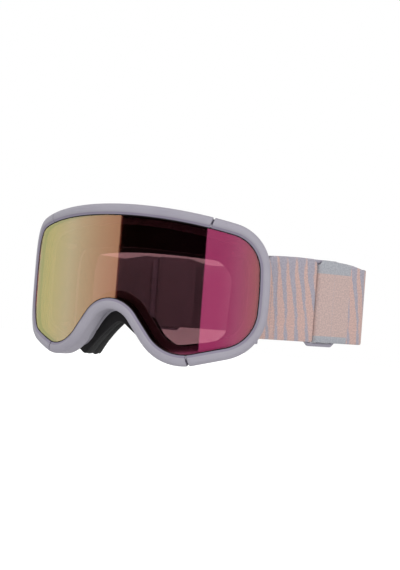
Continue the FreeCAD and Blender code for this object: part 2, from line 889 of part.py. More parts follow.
def make_grip_print():
    """Upright stripes of silicone printed on the inside of the rear strap."""
    points, _rounds = strap_corners()
    run = heading(points[1], points[2])
    inner = layer_offset() - dim("strap_thick") / 2 - dim("grip_proud") / 2
    middle = math.dist(points[1], points[2]) / 2
    size = (dim("grip_stripe"), dim("grip_proud"), dim("strap_height") - 5.0)
    stripes = []
    count = int(dim("grip_count"))
    for index in range(count):
        along = middle + (index - (count - 1) / 2) * dim("grip_pitch")
        x, y = local_point(points[1], run, along, inner, 1)
        angle = math.degrees(math.atan2(run[1], run[0]))
        stripes.append(box("grip_%d" % index, (x, y, -dim("strap_drop")), size, angle))
    group = DOC.addObject("Part::Compound", "grip_stripes")
    group.Links = stripes
    group.Label = "grip_print"
    return group


def make_slider(side, word):
    """Moulded tri-glide: a chamfered plate with two windows and a round centre bar."""
    centre, along = slider_frames()[side]
    body = DOC.addObject("PartDesign::Body", "slider_%s_body" % word)
    plane = next(item for item in body.Origin.OriginFeatures if item.Role == "XY_Plane")
    sketch = body.newObject("Sketcher::SketchObject", "slider_%s_plate" % word)
    sketch.AttachmentSupport = [(plane, "")]
    sketch.MapMode = "FlatFace"
    half_x = dim("slider_length") / 2
    half_z = dim("slider_height") / 2
    cut = dim("slider_chamfer")
    outline = [
        (-half_x + cut, -half_z), (half_x - cut, -half_z), (half_x, -half_z + cut),
        (half_x, half_z - cut), (half_x - cut, half_z), (-half_x + cut, half_z),
        (-half_x, half_z - cut), (-half_x, -half_z + cut),
    ]
    add_loop(sketch, outline)
    bar_half = dim("slider_bar_half")
    rail = half_z - dim("slider_rail")
    edge = half_x - dim("slider_bar")
    for left in (-edge, bar_half):
        right = left + edge - bar_half
        add_loop(sketch, [(left, -rail), (right, -rail), (right, rail), (left, rail)])
    pad = body.newObject("PartDesign::Pad", "slider_%s_pad" % word)
    pad.Profile = sketch
    pad.setExpression("Length", "dims.slider_thick")
    pad.Midplane = True
    body.Tip = pad
    out = Vector(along[1] * side, -along[0] * side, 0)
    rotation = FreeCAD.Rotation(Vector(along[0], along[1], 0), Vector(0, 0, 1), out, "ZXY")
    body.Placement = FreeCAD.Placement(Vector(centre[0], centre[1], -dim("strap_drop")), rotation)
    body.Label = "slider_%s" % word
    return body


def add_loop(sketch, corners):
    """Add a closed loop of straight lines to a sketch and tie its ends together."""
    first = sketch.GeometryCount
    count = len(corners)
    for index, start in enumerate(corners):
        end = corners[(index + 1) % count]
        sketch.addGeometry(Part.LineSegment(Vector(*start, 0), Vector(*end, 0)), False)
    for index in range(count):
        here = first + index
        after = first + (index + 1) % count
        sketch.addConstraint(Sketcher.Constraint("Coincident", here, 2, after, 1))


def make_anchor_bar(side, word):
    """Round bar between the lugs that carries a side strap."""
    item = bar_solid(side, "anchor_bar_%s_solid" % word)
    item.Label = "anchor_bar_%s" % word
    return item


def check_document():
    """Stop on any object that failed, so a broken shape is never written."""
    for item in DOC.Objects:
        if "Invalid" in item.State or "Error" in item.State:
            raise RuntimeError("%s failed: %s" % (item.Name, item.State))


def face_plane():
    """Distance from the lens front to where the fleece meets the face."""
    foams = ("base_foam", "contour_foam", "fleece_facing")
    return dim("frame_depth") + sum(dim(name + "_thick") for name in foams)


def write_parts(items):
    """Check each sub-part, move it to the row frame and write it to its own STEP file."""
    os.makedirs("parts", exist_ok=True)
    back = Vector(0, -face_plane(), 0)
    for item in items:
        shape = item.Shape.copy()
        shape.translate(back)
        if shape.isNull() or not shape.isValid() or not shape.Solids:
            raise RuntimeError("%s has no valid solid" % item.Label)
        shape.exportStep("parts/%s.step" % item.Label)
        bounds = shape.BoundBox
        text = "%-24s solids %d volume %9.1f  x %.1f..%.1f y %.1f..%.1f z %.1f..%.1f"
        corners = (bounds.XMin, bounds.XMax, bounds.YMin, bounds.YMax, bounds.ZMin, bounds.ZMax)
        print(text % ((item.Label, len(shape.Solids), shape.Volume) + corners))


def main():
    """Build every sub-part, check the document and write the files."""
    frame, pad, opening = make_front_frame()
    items = [frame] + make_lens_stack() + make_foams(pad, opening) + make_vent_foams()
    for side, word in ((1, "right"), (-1, "left")):
        items.append(make_anchor_bar(side, word))
        items.append(make_side_strap(side, word))
        items.append(make_slider(side, word))
    items.append(make_rear_strap())
    items.append(make_grip_print())
    DOC.recompute()
    check_document()
    write_parts(items)


main()
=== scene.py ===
"""Looks for the ski goggles: moulded frame, mirror lens, face foam and strap loop.

Shapes are drawn in millimetres from the front point of the outer lens, +Z up and the lens facing
-Y, and put_in_frame() moves them to the row frame in metres.
"""

import json
import logging
import math
from dataclasses import dataclass, field
from enum import Enum
from functools import lru_cache
from typing import Sequence

import bmesh
import bpy
import numpy as np
from mathutils import Matrix, Vector

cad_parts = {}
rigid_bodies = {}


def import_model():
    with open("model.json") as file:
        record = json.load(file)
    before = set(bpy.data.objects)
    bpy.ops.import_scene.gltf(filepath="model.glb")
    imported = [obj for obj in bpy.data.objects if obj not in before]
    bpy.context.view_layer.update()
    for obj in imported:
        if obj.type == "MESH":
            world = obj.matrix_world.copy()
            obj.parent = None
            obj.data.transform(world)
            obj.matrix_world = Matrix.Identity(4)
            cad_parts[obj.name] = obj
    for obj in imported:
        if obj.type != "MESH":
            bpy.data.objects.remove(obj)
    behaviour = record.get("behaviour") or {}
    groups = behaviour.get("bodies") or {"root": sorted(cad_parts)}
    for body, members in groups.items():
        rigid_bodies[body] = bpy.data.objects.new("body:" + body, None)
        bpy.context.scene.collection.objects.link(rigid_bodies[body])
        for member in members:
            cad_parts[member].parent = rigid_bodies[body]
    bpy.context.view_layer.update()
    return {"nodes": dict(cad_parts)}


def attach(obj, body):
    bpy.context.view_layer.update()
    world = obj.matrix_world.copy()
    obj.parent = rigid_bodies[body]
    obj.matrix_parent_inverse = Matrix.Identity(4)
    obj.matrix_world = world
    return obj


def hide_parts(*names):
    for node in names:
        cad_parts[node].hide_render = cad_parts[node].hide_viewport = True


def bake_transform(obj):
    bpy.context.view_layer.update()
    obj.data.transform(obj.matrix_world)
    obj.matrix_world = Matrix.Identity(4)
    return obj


LOG = logging.getLogger("ski_goggles")
MM = 0.001
FACE_PLANE = 31.7
LENS_RADIUS = 102.0
FACE_RADIUS = 66.0
FACE_AXIS = 83.0
NOSE_TOP = 4.0
NOSE_FADE = 8.0
STRAP_MIDDLE = -2.8
STRAP_HEIGHT = 41.0
STRAP_LOW = STRAP_MIDDLE - STRAP_HEIGHT / 2
PATH_STEP = 1.3
MAP_UNIT = 100.0
ANCHOR = (61.8, 43.4)
GONE = 99.0
Colour = tuple[float, float, float]
Corner = tuple[float, float, float]
Socket = bpy.types.NodeSocket


class Body(Enum):
    """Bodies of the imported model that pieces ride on."""

    GOGGLE = "goggle_body"
    RIGHT_STRAP = "right_strap"
    RIGHT_SLIDER = "right_slider"
    LEFT_STRAP = "left_strap"
    LEFT_SLIDER = "left_slider"
    REAR_STRAP = "rear_strap"


class Face(Enum):
    """Material index of a strap's two faces."""

    OUTSIDE = 0
    INSIDE = 1


# ---------------------------------------------------------------- geometry helpers


def put_in_frame(points: np.ndarray) -> np.ndarray:
    """Move points from the lens front in millimetres to the row frame in metres."""
    return (np.asarray(points, float) + (0.0, -FACE_PLANE, 0.0)) * MM


def on_lens(arc: np.ndarray, inward: np.ndarray, height: np.ndarray) -> np.ndarray:
    """Points a distance inside the lens front, at an arc length from the middle.

    Args:
        arc: Arc length along the lens front, in millimetres.
        inward: Distance behind the lens front, square to it.
        height: Height above the lens middle.

    Returns:
        Array whose last axis is x, y, z in millimetres.
    """
    angle = arc / LENS_RADIUS
    reach = LENS_RADIUS - inward
    deep = LENS_RADIUS - reach * np.cos(angle)
    x, y, z = np.broadcast_arrays(reach * np.sin(angle), deep, height)
    return np.stack([x, y, z], axis=-1)


def nose_share(x: np.ndarray, height: np.ndarray, spread: float) -> np.ndarray:
    """Share, 0 to 1, of a change in shape that is only there below the brow and at the nose."""
    return np.exp(-np.square(x / spread)) * np.clip((NOSE_TOP - height) / NOSE_FADE, 0, 1)


def nose_dip(x: np.ndarray, height: np.ndarray) -> np.ndarray:
    """Share, 0 to 1, by which the face side comes forward over the nose."""
    return nose_share(x, height, 27.0)


def face_side(x: np.ndarray, height: np.ndarray, shift: np.ndarray) -> np.ndarray:
    """Depth of the face side, moved back by a shift: an upright cylinder that dips at the nose."""
    dip = (5.0 + 0.5 * np.maximum(shift, 0.0)) * nose_dip(x, height)
    return FACE_AXIS + shift - np.sqrt(FACE_RADIUS**2 - np.square(x)) - dip


def corner_arc(before: Corner, here: Corner, after: Corner) -> tuple[Vector, float, float, float]:
    """Centre, radius, first angle and turn of the arc that rounds the corner here."""
    spot, radius = Vector(here[:2]), here[2]
    into = (spot - Vector(before[:2])).normalized()
    out = (Vector(after[:2]) - spot).normalized()
    turn = math.atan2(into.x * out.y - into.y * out.x, into.dot(out))
    start = spot - into * radius * math.tan(abs(turn) / 2)
    centre = start + Vector((-into.y, into.x)) * math.copysign(radius, turn)
    return centre, radius, math.atan2(start.y - centre.y, start.x - centre.x), turn


def on_arc(centre: Vector, radius: float, angle: float) -> tuple[float, float]:
    """Point of a circle at an angle."""
    return centre.x + radius * math.cos(angle), centre.y + radius * math.sin(angle)


@dataclass(frozen=True)
class Outline:
    """Closed flat outline with rounded corners that is the same on both sides.

    Attributes:
        half: Corners x, z and radius from the middle of the brow down to the nose.
    """

    half: tuple[Corner, ...]

    def arcs(self) -> list[tuple[Vector, float, float, float]]:
        """Centre, radius, first angle and turn of each rounded corner, clockwise."""
        loop = list(self.half) + [(-x, z, r) for x, z, r in reversed(self.half[1:-1])]
        after = loop[1:] + loop[:1]
        return [corner_arc(loop[i - 1], here, after[i]) for i, here in enumerate(loop)]

    def stations(self, spacing: float, counts: Sequence[tuple[int, int]] = ()) -> np.ndarray:
        """Points and outward normals round the outline.

        Args:
            spacing: Distance between points where counts isn't given.
            counts: Points on each arc and on the line after it, to match another outline.

        Returns:
            Array with rows x, z, normal x, normal z.
        """
        arcs = self.arcs()
        rows = []
        for index, (steps, spaces) in enumerate(counts or self.counts(spacing)):
            centre, radius, first, turn = arcs[index]
            sign = -math.copysign(1.0, turn)
            for share in np.linspace(0, 1, steps):
                angle = first + turn * share
                normal = (sign * math.cos(angle), sign * math.sin(angle))
                rows.append((*on_arc(centre, radius, angle), *normal))
            last = np.array(rows[-1])
            centre, radius, first, _turn = arcs[(index + 1) % len(arcs)]
            goal = np.array((*on_arc(centre, radius, first), last[2], last[3]))
            shares = np.linspace(0, 1, spaces + 2)[1:-1]
            rows += [tuple(last + (goal - last) * share) for share in shares]
        return np.array(rows)

    def counts(self, spacing: float) -> list[tuple[int, int]]:
        """Points on each arc and on the line after it at a spacing."""
        arcs = self.arcs()
        found = []
        for index, (centre, radius, first, turn) in enumerate(arcs):
            after, far, angle, _turn = arcs[(index + 1) % len(arcs)]
            gap = math.dist(on_arc(centre, radius, first + turn), on_arc(after, far, angle))
            arc_steps = max(4, int(abs(turn) * radius / spacing) + 1)
            found.append((arc_steps, max(0, int(gap / spacing) - 1)))
        return found


LENS_OUTLINE = Outline((
    (0.0, 41.7, 300.0), (76.7, 25.4, 18.8), (78.6, 0.9, 161.0),
    (77.4, -25.3, 20.5), (32.2, -37.1, 22.0), (0.0, 3.3, 19.3),
))
OPENING_OUTLINE = Outline((
    (0.0, 19.6, 300.0), (49.8, 17.0, 14.0), (48.5, -26.0, 8.0),
    (24.5, -31.0, 6.0), (0.0, -10.0, 6.0),
))
PAD_OUTLINE = Outline((
    (0.0, 33.0, 250.0), (58.0, 28.0, 16.0), (55.3, -29.5, 15.0),
    (26.5, -39.4, 5.0), (0.0, -18.5, 5.0),
))


def rounded_path(corners: Sequence[Corner], spacing: float) -> np.ndarray:
    """Sample an open plan route whose corners are rounded.

    Args:
        corners: x, y and radius of each corner.
        spacing: Largest distance between neighbouring points.

    Returns:
        Array of x, y points.
    """
    stops = [np.array(corners[0][:2])]
    for before, here, after in zip(corners, corners[1:], corners[2:]):
        centre, radius, first, turn = corner_arc(before, here, after)
        steps = max(4, int(abs(turn) * max(radius, 1.5) / 0.8))
        angles = first + turn * np.linspace(0, 1, steps)
        stops += [np.array(on_arc(centre, radius, angle)) for angle in angles]
    stops.append(np.array(corners[-1][:2]))
    path = [stops[0]]
    for start, end in zip(stops, stops[1:]):
        length = float(np.linalg.norm(end - start))
        if length < 1e-6:
            continue
        spaces = max(1, math.ceil(length / spacing))
        path += [start + (end - start) * step / spaces for step in range(1, spaces + 1)]
    return np.array(path)


def path_length(route: Sequence[Corner]) -> float:
    """Length of a rounded plan route in millimetres."""
    return float(np.linalg.norm(np.diff(rounded_path(route, PATH_STEP), axis=0), axis=1).sum())


def grid_faces(rows: int, columns: int, close_rows: bool, close_columns: bool) -> list[tuple]:
    """Quads of a grid of rows by columns, either way closed or open."""
    faces = []
    for row in range(rows if close_rows else rows - 1):
        here, after = row * columns, (row + 1) % rows * columns
        for column in range(columns if close_columns else columns - 1):
            side = (column + 1) % columns
            faces.append((here + column, here + side, after + side, after + column))
    return faces


def linked(name: str, data: bpy.types.ID) -> bpy.types.Object:
    """New object that holds the data, linked to the scene."""
    thing = bpy.data.objects.new(name, data)
    bpy.context.scene.collection.objects.link(thing)
    return thing


def from_bmesh(name: str, bm: bmesh.types.BMesh) -> bpy.types.Object:
    """New linked object from a bmesh, which is freed."""
    mesh = bpy.data.meshes.new(name)
    bm.to_mesh(mesh)
    bm.free()
    return linked(name, mesh)


def shaded(piece: bpy.types.Object, crease: float) -> bpy.types.Object:
    """Shade the piece smooth, with edges above an angle in degrees left sharp."""
    piece.data.shade_smooth()
    piece.data.set_sharp_from_angle(angle=math.radians(crease))
    return piece


def with_materials(piece: bpy.types.Object, *materials: bpy.types.Material) -> bpy.types.Object:
    """Give the piece its materials in order."""
    for material in materials:
        piece.data.materials.append(material)
    return piece


def new_piece(name: str, points: np.ndarray, faces: Sequence[tuple[int, ...]],
              crease: float = 35.0) -> bpy.types.Object:
    """Make a mesh object in the row frame with outward faces and smooth shading.

    Args:
        name: Name of the object and its mesh.
        points: Vertices in millimetres from the lens front, in an array whose last axis is x, y, z.
        faces: Vertex numbers of each face.
        crease: Angle in degrees above which an edge stays sharp.

    Returns:
        The new object, linked to the scene.
    """
    start = bpy.data.meshes.new(name)
    spots = put_in_frame(points).reshape(-1, 3)
    start.from_pydata([tuple(p) for p in spots], [], list(faces))
    bm = bmesh.new()
    bm.from_mesh(start)
    bpy.data.meshes.remove(start)
    bmesh.ops.remove_doubles(bm, verts=bm.verts, dist=1e-7)
    bmesh.ops.recalc_face_normals(bm, faces=bm.faces)
    return shaded(from_bmesh(name, bm), crease)


def finished(piece: bpy.types.Object) -> bpy.types.Object:
    """Turn the piece's modifiers into plain mesh and remove them."""
    graph = bpy.context.evaluated_depsgraph_get()
    graph.update()
    mesh = bpy.data.meshes.new_from_object(piece.evaluated_get(graph))
    piece.modifiers.clear()
    piece.data = mesh
    return piece


def modified(piece: bpy.types.Object, kind: str, **settings: object) -> bpy.types.Object:
    """Apply one modifier, given by its type and settings, to the piece's mesh."""
    modifier = piece.modifiers.new(kind.lower(), kind)
    for name, value in settings.items():
        setattr(modifier, name, value)
    return finished(piece)


def place(piece: bpy.types.Object, body: Body, material: bpy.types.Material,
          stands_for: Sequence[str] = ()) -> bpy.types.Object:
    """Dress a finished piece and tie it to its body.

    Args:
        piece: The piece, already in its place.
        body: Body that it rides on.
        material: Its material.
        stands_for: CAD nodes that it replaces.

    Returns:
        The same piece.
    """
    if not piece.data.materials:
        with_materials(piece, material)
    if stands_for:
        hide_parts(*stands_for)
    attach(piece, body.value)
    LOG.info("%s: %d faces on %s", piece.name, len(piece.data.polygons), body.value)
    return piece


# ---------------------------------------------------------------- node groups and materials


class NodeMaker:
    """Short way to build shader nodes in one tree."""

    def __init__(self, tree: bpy.types.NodeTree) -> None:
        """Start with an empty tree."""
        self.tree = tree
        tree.nodes.clear()

    def add(self, kind: str, inputs: dict | None = None, **settings: object) -> bpy.types.Node:
        """Add one node.

        Args:
            kind: Node type.
            inputs: Socket name or number to a value or to the socket that feeds it.
            settings: Properties of the node.

        Returns:
            The new node.
        """
        node = self.tree.nodes.new(kind)
        for name, value in settings.items():
            setattr(node, name, value)
        for name, value in (inputs or {}).items():
            if isinstance(value, Socket):
                self.tree.links.new(value, node.inputs[name])
            else:
                node.inputs[name].default_value = value
        return node

    def math(self, operation: str, first: object, second: object = 0.0,
             third: object = 0.0) -> Socket:
        """Result of a math node."""
        inputs = {0: first, 1: second, 2: third}
        return self.add("ShaderNodeMath", inputs, operation=operation).outputs[0]

    def times_plus(self, first: object, second: object, third: object) -> Socket:
        """First times second plus third."""
        return self.math("MULTIPLY_ADD", first, second, third)

    def mix(self, share: object, first: object, second: object,
            blend: str = "MIX") -> Socket:
        """Colour between two colours, each a socket or three numbers."""
        ends = [c if isinstance(c, Socket) else (*c, 1.0) for c in (first, second)]
        inputs = {0: share, 6: ends[0], 7: ends[1]}
        return self.add("ShaderNodeMix", inputs, data_type="RGBA", blend_type=blend).outputs[2]

    def smooth(self, value: object, low: object, high: object) -> Socket:
        """Smooth step from 0 at low to 1 at high."""
        settings = {"Value": value, "From Min": low, "From Max": high}
        return self.add("ShaderNodeMapRange", settings, interpolation_type="SMOOTHSTEP").outputs[0]

    def fall(self, value: object, low: float, high: float) -> Socket:
        """Smooth step from 1 at low to 0 at high."""
        return self.math("SUBTRACT", 1.0, self.smooth(value, low, high))

    def noise(self, vector: object, scale: float, detail: float = 2.0) -> Socket:
        """Value of a noise texture."""
        inputs = {"Vector": vector, "Scale": scale, "Detail": detail}
        return self.add("ShaderNodeTexNoise", inputs).outputs[0]

    def stretched(self, vector: object, scale: Colour) -> Socket:
        """Place scaled differently along X, Y and Z."""
        return self.add("ShaderNodeMapping", {"Vector": vector, "Scale": scale}).outputs[0]

    def scaled(self, vector: object, scale: object) -> Socket:
        """Vector times a number."""
        inputs = {0: vector, "Scale": scale}
        return self.add("ShaderNodeVectorMath", inputs, operation="SCALE").outputs[0]

    def surface(self, colour: object, roughness: object, more: dict | None = None,
                bump: tuple[object, float, float] | None = None) -> Socket:
        """Principled surface.

        Args:
            colour: Base colour, a socket or three numbers.
            roughness: Roughness, a socket or a number.
            more: Other inputs of the shader.
            bump: Height, strength and distance in metres of its relief.

        Returns:
            The shader's output.
        """
        flat = colour if isinstance(colour, Socket) else (*colour, 1.0)
        inputs = {"Base Color": flat, "Roughness": roughness} | (more or {})
        if bump:
            relief = dict(zip(("Height", "Strength", "Distance"), bump))
            inputs["Normal"] = self.add("ShaderNodeBump", relief).outputs[0]
        return self.add("ShaderNodeBsdfPrincipled", inputs).outputs[0]

    def blend(self, share: object, first: object, second: object) -> Socket:
        """Shader between two shaders."""
        return self.add("ShaderNodeMixShader", {0: share, 1: first, 2: second}).outputs[0]

    def through(self, tint: Colour, share: float, gloss: object) -> Socket:
        """Tinted clear sheet with a share of gloss."""
        clear = self.add("ShaderNodeBsdfTransparent", {"Color": (*tint, 1.0)}).outputs[0]
        return self.blend(share, clear, gloss)

    def light(self, kind: str, strength: object) -> Socket:
        """White light from a background or an emission node."""
        return self.add(kind, {"Color": (1.0, 1.0, 1.0, 1.0), "Strength": strength}).outputs[0]

    def seen(self, rays: bpy.types.Node) -> Socket:
        """1 for what is seen directly or through a lens, 0 otherwise."""
        direct, lens = rays.outputs["Is Camera Ray"], rays.outputs["Is Transmission Ray"]
        return self.math("MAXIMUM", direct, lens)

    def ramp(self, value: object, stops: Sequence[tuple[float, Colour]]) -> Socket:
        """Colour from a ramp of places and colours."""
        node = self.add("ShaderNodeValToRGB", {0: value})
        elements = node.color_ramp.elements
        while len(elements) < len(stops):
            elements.new(0.5)
        for element, (spot, colour) in zip(elements, stops):
            element.position = spot
            element.color = (*colour, 1.0)
        return node.outputs[0]


class Patterns:
    """Node groups that more than one finish uses, each built once."""

    def __init__(self) -> None:
        """Build every group."""
        self.grain = self._grain()
        self.knit = self._knit()
        self.cells = self._cells()

    def _group(self, name: str, numbers: dict[str, float],
               outputs: Sequence[str]) -> tuple[bpy.types.NodeTree, NodeMaker, dict]:
        """New group with number inputs after a vector, and number outputs.

        Args:
            name: Name of the group.
            numbers: Name and default of each number input.
            outputs: Name of each output.

        Returns:
            The tree, its maker and the sockets of its inputs.
        """
        tree = bpy.data.node_groups.new(name, "ShaderNodeTree")
        new_socket = tree.interface.new_socket
        new_socket("Vector", in_out="INPUT", socket_type="NodeSocketVector")
        for word, value in numbers.items():
            made = new_socket(word, in_out="INPUT", socket_type="NodeSocketFloat")
            made.default_value = value
        for word in outputs:
            new_socket(word, in_out="OUTPUT", socket_type="NodeSocketFloat")
        maker = NodeMaker(tree)
        return tree, maker, maker.add("NodeGroupInput").outputs

    def _grain(self) -> bpy.types.NodeTree:
        """Fine spark-eroded grain with slow patches of shade."""
        tree, maker, given = self._group("moulded_grain", {"Size": 0.0006}, ("Height", "Shade"))
        spot = maker.scaled(given["Vector"], maker.math("DIVIDE", 1.0, given["Size"]))
        fine, slow = maker.noise(spot, 1.0, 3.0), maker.noise(given["Vector"], 60.0)
        maker.add("NodeGroupOutput", {"Height": fine, "Shade": slow})
        return tree

    def _knit(self) -> bpy.types.NodeTree:
        """Rows and columns of small stitches on a strap's own map, in millimetres."""
        tree, maker, given = self._group("knit_rows", {"Pitch": 0.8}, ("Height", "Heather"))
        split = maker.add("ShaderNodeSeparateXYZ", {0: given["Vector"]})
        turn = maker.math("DIVIDE", math.tau, given["Pitch"])
        across, up = (maker.math("MULTIPLY", split.outputs[i], turn) for i in (0, 1))
        wobble = maker.math("MULTIPLY", maker.math("SINE", maker.math("MULTIPLY", up, 0.5)), 1.2)
        column = maker.math("ABSOLUTE", maker.math("SINE", maker.math("ADD", across, wobble)))
        row = maker.math("ABSOLUTE", maker.math("SINE", up))
        height = maker.times_plus(column, 0.6, maker.math("MULTIPLY", row, 0.4))
        heather = maker.noise(given["Vector"], 1.2, 3.0)
        maker.add("NodeGroupOutput", {"Height": height, "Heather": heather})
        return tree

    def _cells(self) -> bpy.types.NodeTree:
        """Open cells of foam: pits and the walls between them, with a mask for painted shade in the
        pits.
        """
        tree, maker, given = self._group("foam_cells", {"Size": 0.0008}, ("Height", "Pit_Shade"))
        spot = maker.scaled(given["Vector"], maker.math("DIVIDE", 1.0, given["Size"]))
        cell = maker.add("ShaderNodeTexVoronoi", {"Vector": spot, "Scale": 1.0}, feature="F1")
        far = cell.outputs["Distance"]
        height = maker.times_plus(maker.noise(spot, 0.6, 3.0), 0.7, far)
        maker.add("NodeGroupOutput", {"Height": height, "Pit_Shade": maker.smooth(far, 0.1, 0.6)})
        return tree


@lru_cache(maxsize=1)
def patterns() -> Patterns:
    """The shared node groups, built at first use."""
    return Patterns()


@dataclass(frozen=True)
class Finish:
    """A material that a subclass draws from Object coordinates."""

    name: str

    def draw(self, maker: NodeMaker, spot: Socket) -> Socket:
        """Shader of the finish at a place in the part."""
        raise NotImplementedError

    def material(self) -> bpy.types.Material:
        """Build the material."""
        material = bpy.data.materials.new(self.name)
        material.use_nodes = True
        maker = NodeMaker(material.node_tree)
        spot = maker.add("ShaderNodeTexCoord").outputs["Object"]
        maker.add("ShaderNodeOutputMaterial", {0: self.draw(maker, spot)})
        return material


@dataclass(frozen=True)
class MouldedFinish(Finish):
    """Matte moulded plastic or rubber with fine grain and soft shade patches."""

    colour: Colour
    shade: Colour
    roughness: float = 0.5
    grain: float = 0.0006
    bump: float = 0.05

    def draw(self, maker: NodeMaker, spot: Socket) -> Socket:
        """Grain in the relief and the roughness, and patches in the colour."""
        inputs = {"Vector": spot, "Size": self.grain}
        grain = maker.add("ShaderNodeGroup", inputs, node_tree=patterns().grain).outputs
        colour = maker.mix(maker.smooth(grain["Shade"], 0.3, 0.75), self.colour, self.shade)
        rough = maker.times_plus(grain["Height"], 0.14, self.roughness - 0.07)
        return maker.surface(colour, rough, bump=(grain["Height"], self.bump, 0.0002))


@dataclass(frozen=True)
class FoamFinish(Finish):
    """Open-cell foam: pits darkened with painted shade between slightly lighter walls."""

    colour: Colour
    pit_shade: Colour
    cell: float = 0.0008
    bump: float = 0.5

    def draw(self, maker: NodeMaker, spot: Socket) -> Socket:
        """Pits in the relief, and painted shade in the pits' colour."""
        inputs = {"Vector": spot, "Size": self.cell}
        cells = maker.add("ShaderNodeGroup", inputs, node_tree=patterns().cells).outputs
        colour = maker.mix(cells["Pit_Shade"], self.pit_shade, self.colour)
        return maker.surface(colour, 0.95, bump=(cells["Height"], self.bump, 0.0004))


@dataclass(frozen=True)
class FleeceFinish(Finish):
    """Brushed fleece: soft fibres in clumps, with a pale sheen at a low angle."""

    colour: Colour
    tip_highlight: Colour

    def draw(self, maker: NodeMaker, spot: Socket) -> Socket:
        """Fibres in the relief, and a paler painted highlight on the high fibre tips."""
        fibre = maker.noise(maker.stretched(spot, (900.0, 900.0, 500.0)), 1.0, 5.0)
        height = maker.times_plus(maker.noise(spot, 300.0), 0.6, fibre)
        # Painted highlight: paler colour where the fibre relief is high
        colour = maker.mix(maker.smooth(height, 0.6, 1.1), self.colour, self.tip_highlight)
        sheen = {"Sheen Weight": 0.4, "Sheen Roughness": 0.5}
        return maker.surface(colour, 0.98, sheen, (height, 0.6, 0.0004))


@dataclass(frozen=True)
class WebbingFinish(Finish):
    """Knitted elastic webbing with leaning, tapering stripes and one plain block.

    Attributes:
        ground: Colour of the ground yarn.
        stripe: Colour of the printed stripes.
        printed: Whether the stripes are there.
        block: First and last place of the plain block along the strap, in millimetres.
        block_ground: Colour of the block's upper and lower bands.
        lift: Shift of the stripe limit, higher for more stripe and less ground.
        stripe_pitch: Distance between stripes, in millimetres.
    """

    ground: Colour
    stripe: Colour
    printed: bool = True
    block: tuple[float, float] = (-90.0, -80.0)
    block_ground: Colour = (0.385, 0.395, 0.425)
    lift: float = 0.0
    stripe_pitch: float = 6.1

    def draw(self, maker: NodeMaker, spot: Socket) -> Socket:
        """Print and heather in the colour, and stitches in the relief."""
        chart = maker.add("ShaderNodeUVMap", uv_map="strap_map").outputs[0]
        place_mm = maker.scaled(chart, MAP_UNIT)
        knit = maker.add("ShaderNodeGroup", {"Vector": place_mm}, node_tree=patterns().knit).outputs
        colour = (self._print(maker, place_mm) if self.printed
                  else maker.mix(0.0, self.ground, self.stripe))
        speckle = maker.smooth(knit["Heather"], 0.35, 0.68)
        tint = maker.mix(speckle, (0.87, 0.875, 0.90), (1.12, 1.11, 1.10))
        colour = maker.mix(1.0, colour, tint, "MULTIPLY")
        sheen = {"Sheen Weight": 0.12, "Sheen Roughness": 0.5}
        return maker.surface(colour, 0.9, sheen, (knit["Height"], 0.35, 0.00025))

    def _print(self, maker: NodeMaker, place_mm: Socket) -> Socket:
        """Colour of the print at a place on the strap."""
        split = maker.add("ShaderNodeSeparateXYZ", {0: place_mm})
        along, height = split.outputs[0], split.outputs[1]
        lean = maker.times_plus(height, 0.15, along)
        lean = maker.times_plus(maker.noise(place_mm, 0.045, 1.0), 5.0, lean)
        lean = maker.times_plus(maker.noise(place_mm, 0.55, 3.0), 1.3, lean)
        wave = maker.math("SINE", maker.math("MULTIPLY", lean, math.tau / self.stripe_pitch))
        squared = maker.math("POWER", maker.math("MAXIMUM", height, 0.0), 2.0)
        limit = maker.times_plus(squared, 0.00100, -1.28 - self.lift)
        limit = maker.times_plus(maker.fall(height, 3.0, 10.0), 0.45, limit)
        patch = maker.noise(maker.stretched(place_mm, (0.16, 0.05, 1.0)), 1.0, 1.0)
        limit = maker.math("SUBTRACT", maker.times_plus(patch, 0.7, limit), 0.65)
        limit = maker.times_plus(maker.noise(place_mm, 2.6, 3.0), 1.3, limit)
        share = maker.smooth(maker.math("SUBTRACT", wave, limit), -0.12, 0.16)
        colour = maker.mix(share, self.ground, self.stripe)
        first, last = self.block
        inside = maker.math("MULTIPLY", maker.smooth(along, first - 0.15, first + 0.15),
                            maker.fall(along, last - 0.15, last + 0.15))
        field = maker.math("MULTIPLY", maker.smooth(height, 3.4, 3.7),
                           maker.fall(height, 36.6, 36.9))
        red, green, blue = self.stripe
        plain = maker.mix(field, self.block_ground, (red * 0.95, green * 1.03, blue * 1.06))
        return maker.mix(inside, colour, plain)


@dataclass(frozen=True)
class MirrorLensFinish(Finish):
    """Thin mirror coat on a tinted lens: rose face on, through orange and gold, to yellow."""

    tint: Colour
    share: float
    coat: tuple[tuple[float, Colour], ...]

    def draw(self, maker: NodeMaker, spot: Socket) -> Socket:
        """Coat colour by the angle that the lens is seen at."""
        facing = maker.add("ShaderNodeLayerWeight", {"Blend": 0.5}).outputs["Facing"]
        shifted = maker.times_plus(maker.noise(spot, 35.0), 0.012, facing)
        colour = maker.ramp(maker.math("SUBTRACT", shifted, 0.006), self.coat)
        return maker.through(self.tint, self.share, maker.surface(colour, 0.03, {"Metallic": 1.0}))


@dataclass(frozen=True)
class ClearLensFinish(Finish):
    """Thin clear sheet with a weak reflection."""

    tint: Colour

    def draw(self, maker: NodeMaker, spot: Socket) -> Socket:
        """Weak gloss with a little haze."""
        haze = maker.times_plus(maker.noise(spot, 40.0), 0.04, 0.03)
        return maker.through(self.tint, 0.05, maker.surface((0.02, 0.02, 0.02), haze))


@dataclass(frozen=True)
class DrawnSteelFinish(Finish):
    """Satin drawn wire with fine lines along it."""

    colour: Colour

    def draw(self, maker: NodeMaker, spot: Socket) -> Socket:
        """Drawn lines in the relief, the roughness and the colour."""
        line = maker.noise(maker.stretched(spot, (5000.0, 5000.0, 60.0)), 1.0)
        rough = maker.times_plus(line, 0.25, 0.22)
        colour = maker.mix(line, self.colour, tuple(c * 0.8 for c in self.colour))
        return maker.surface(colour, rough, {"Metallic": 1.0}, (line, 0.08, 0.0001))


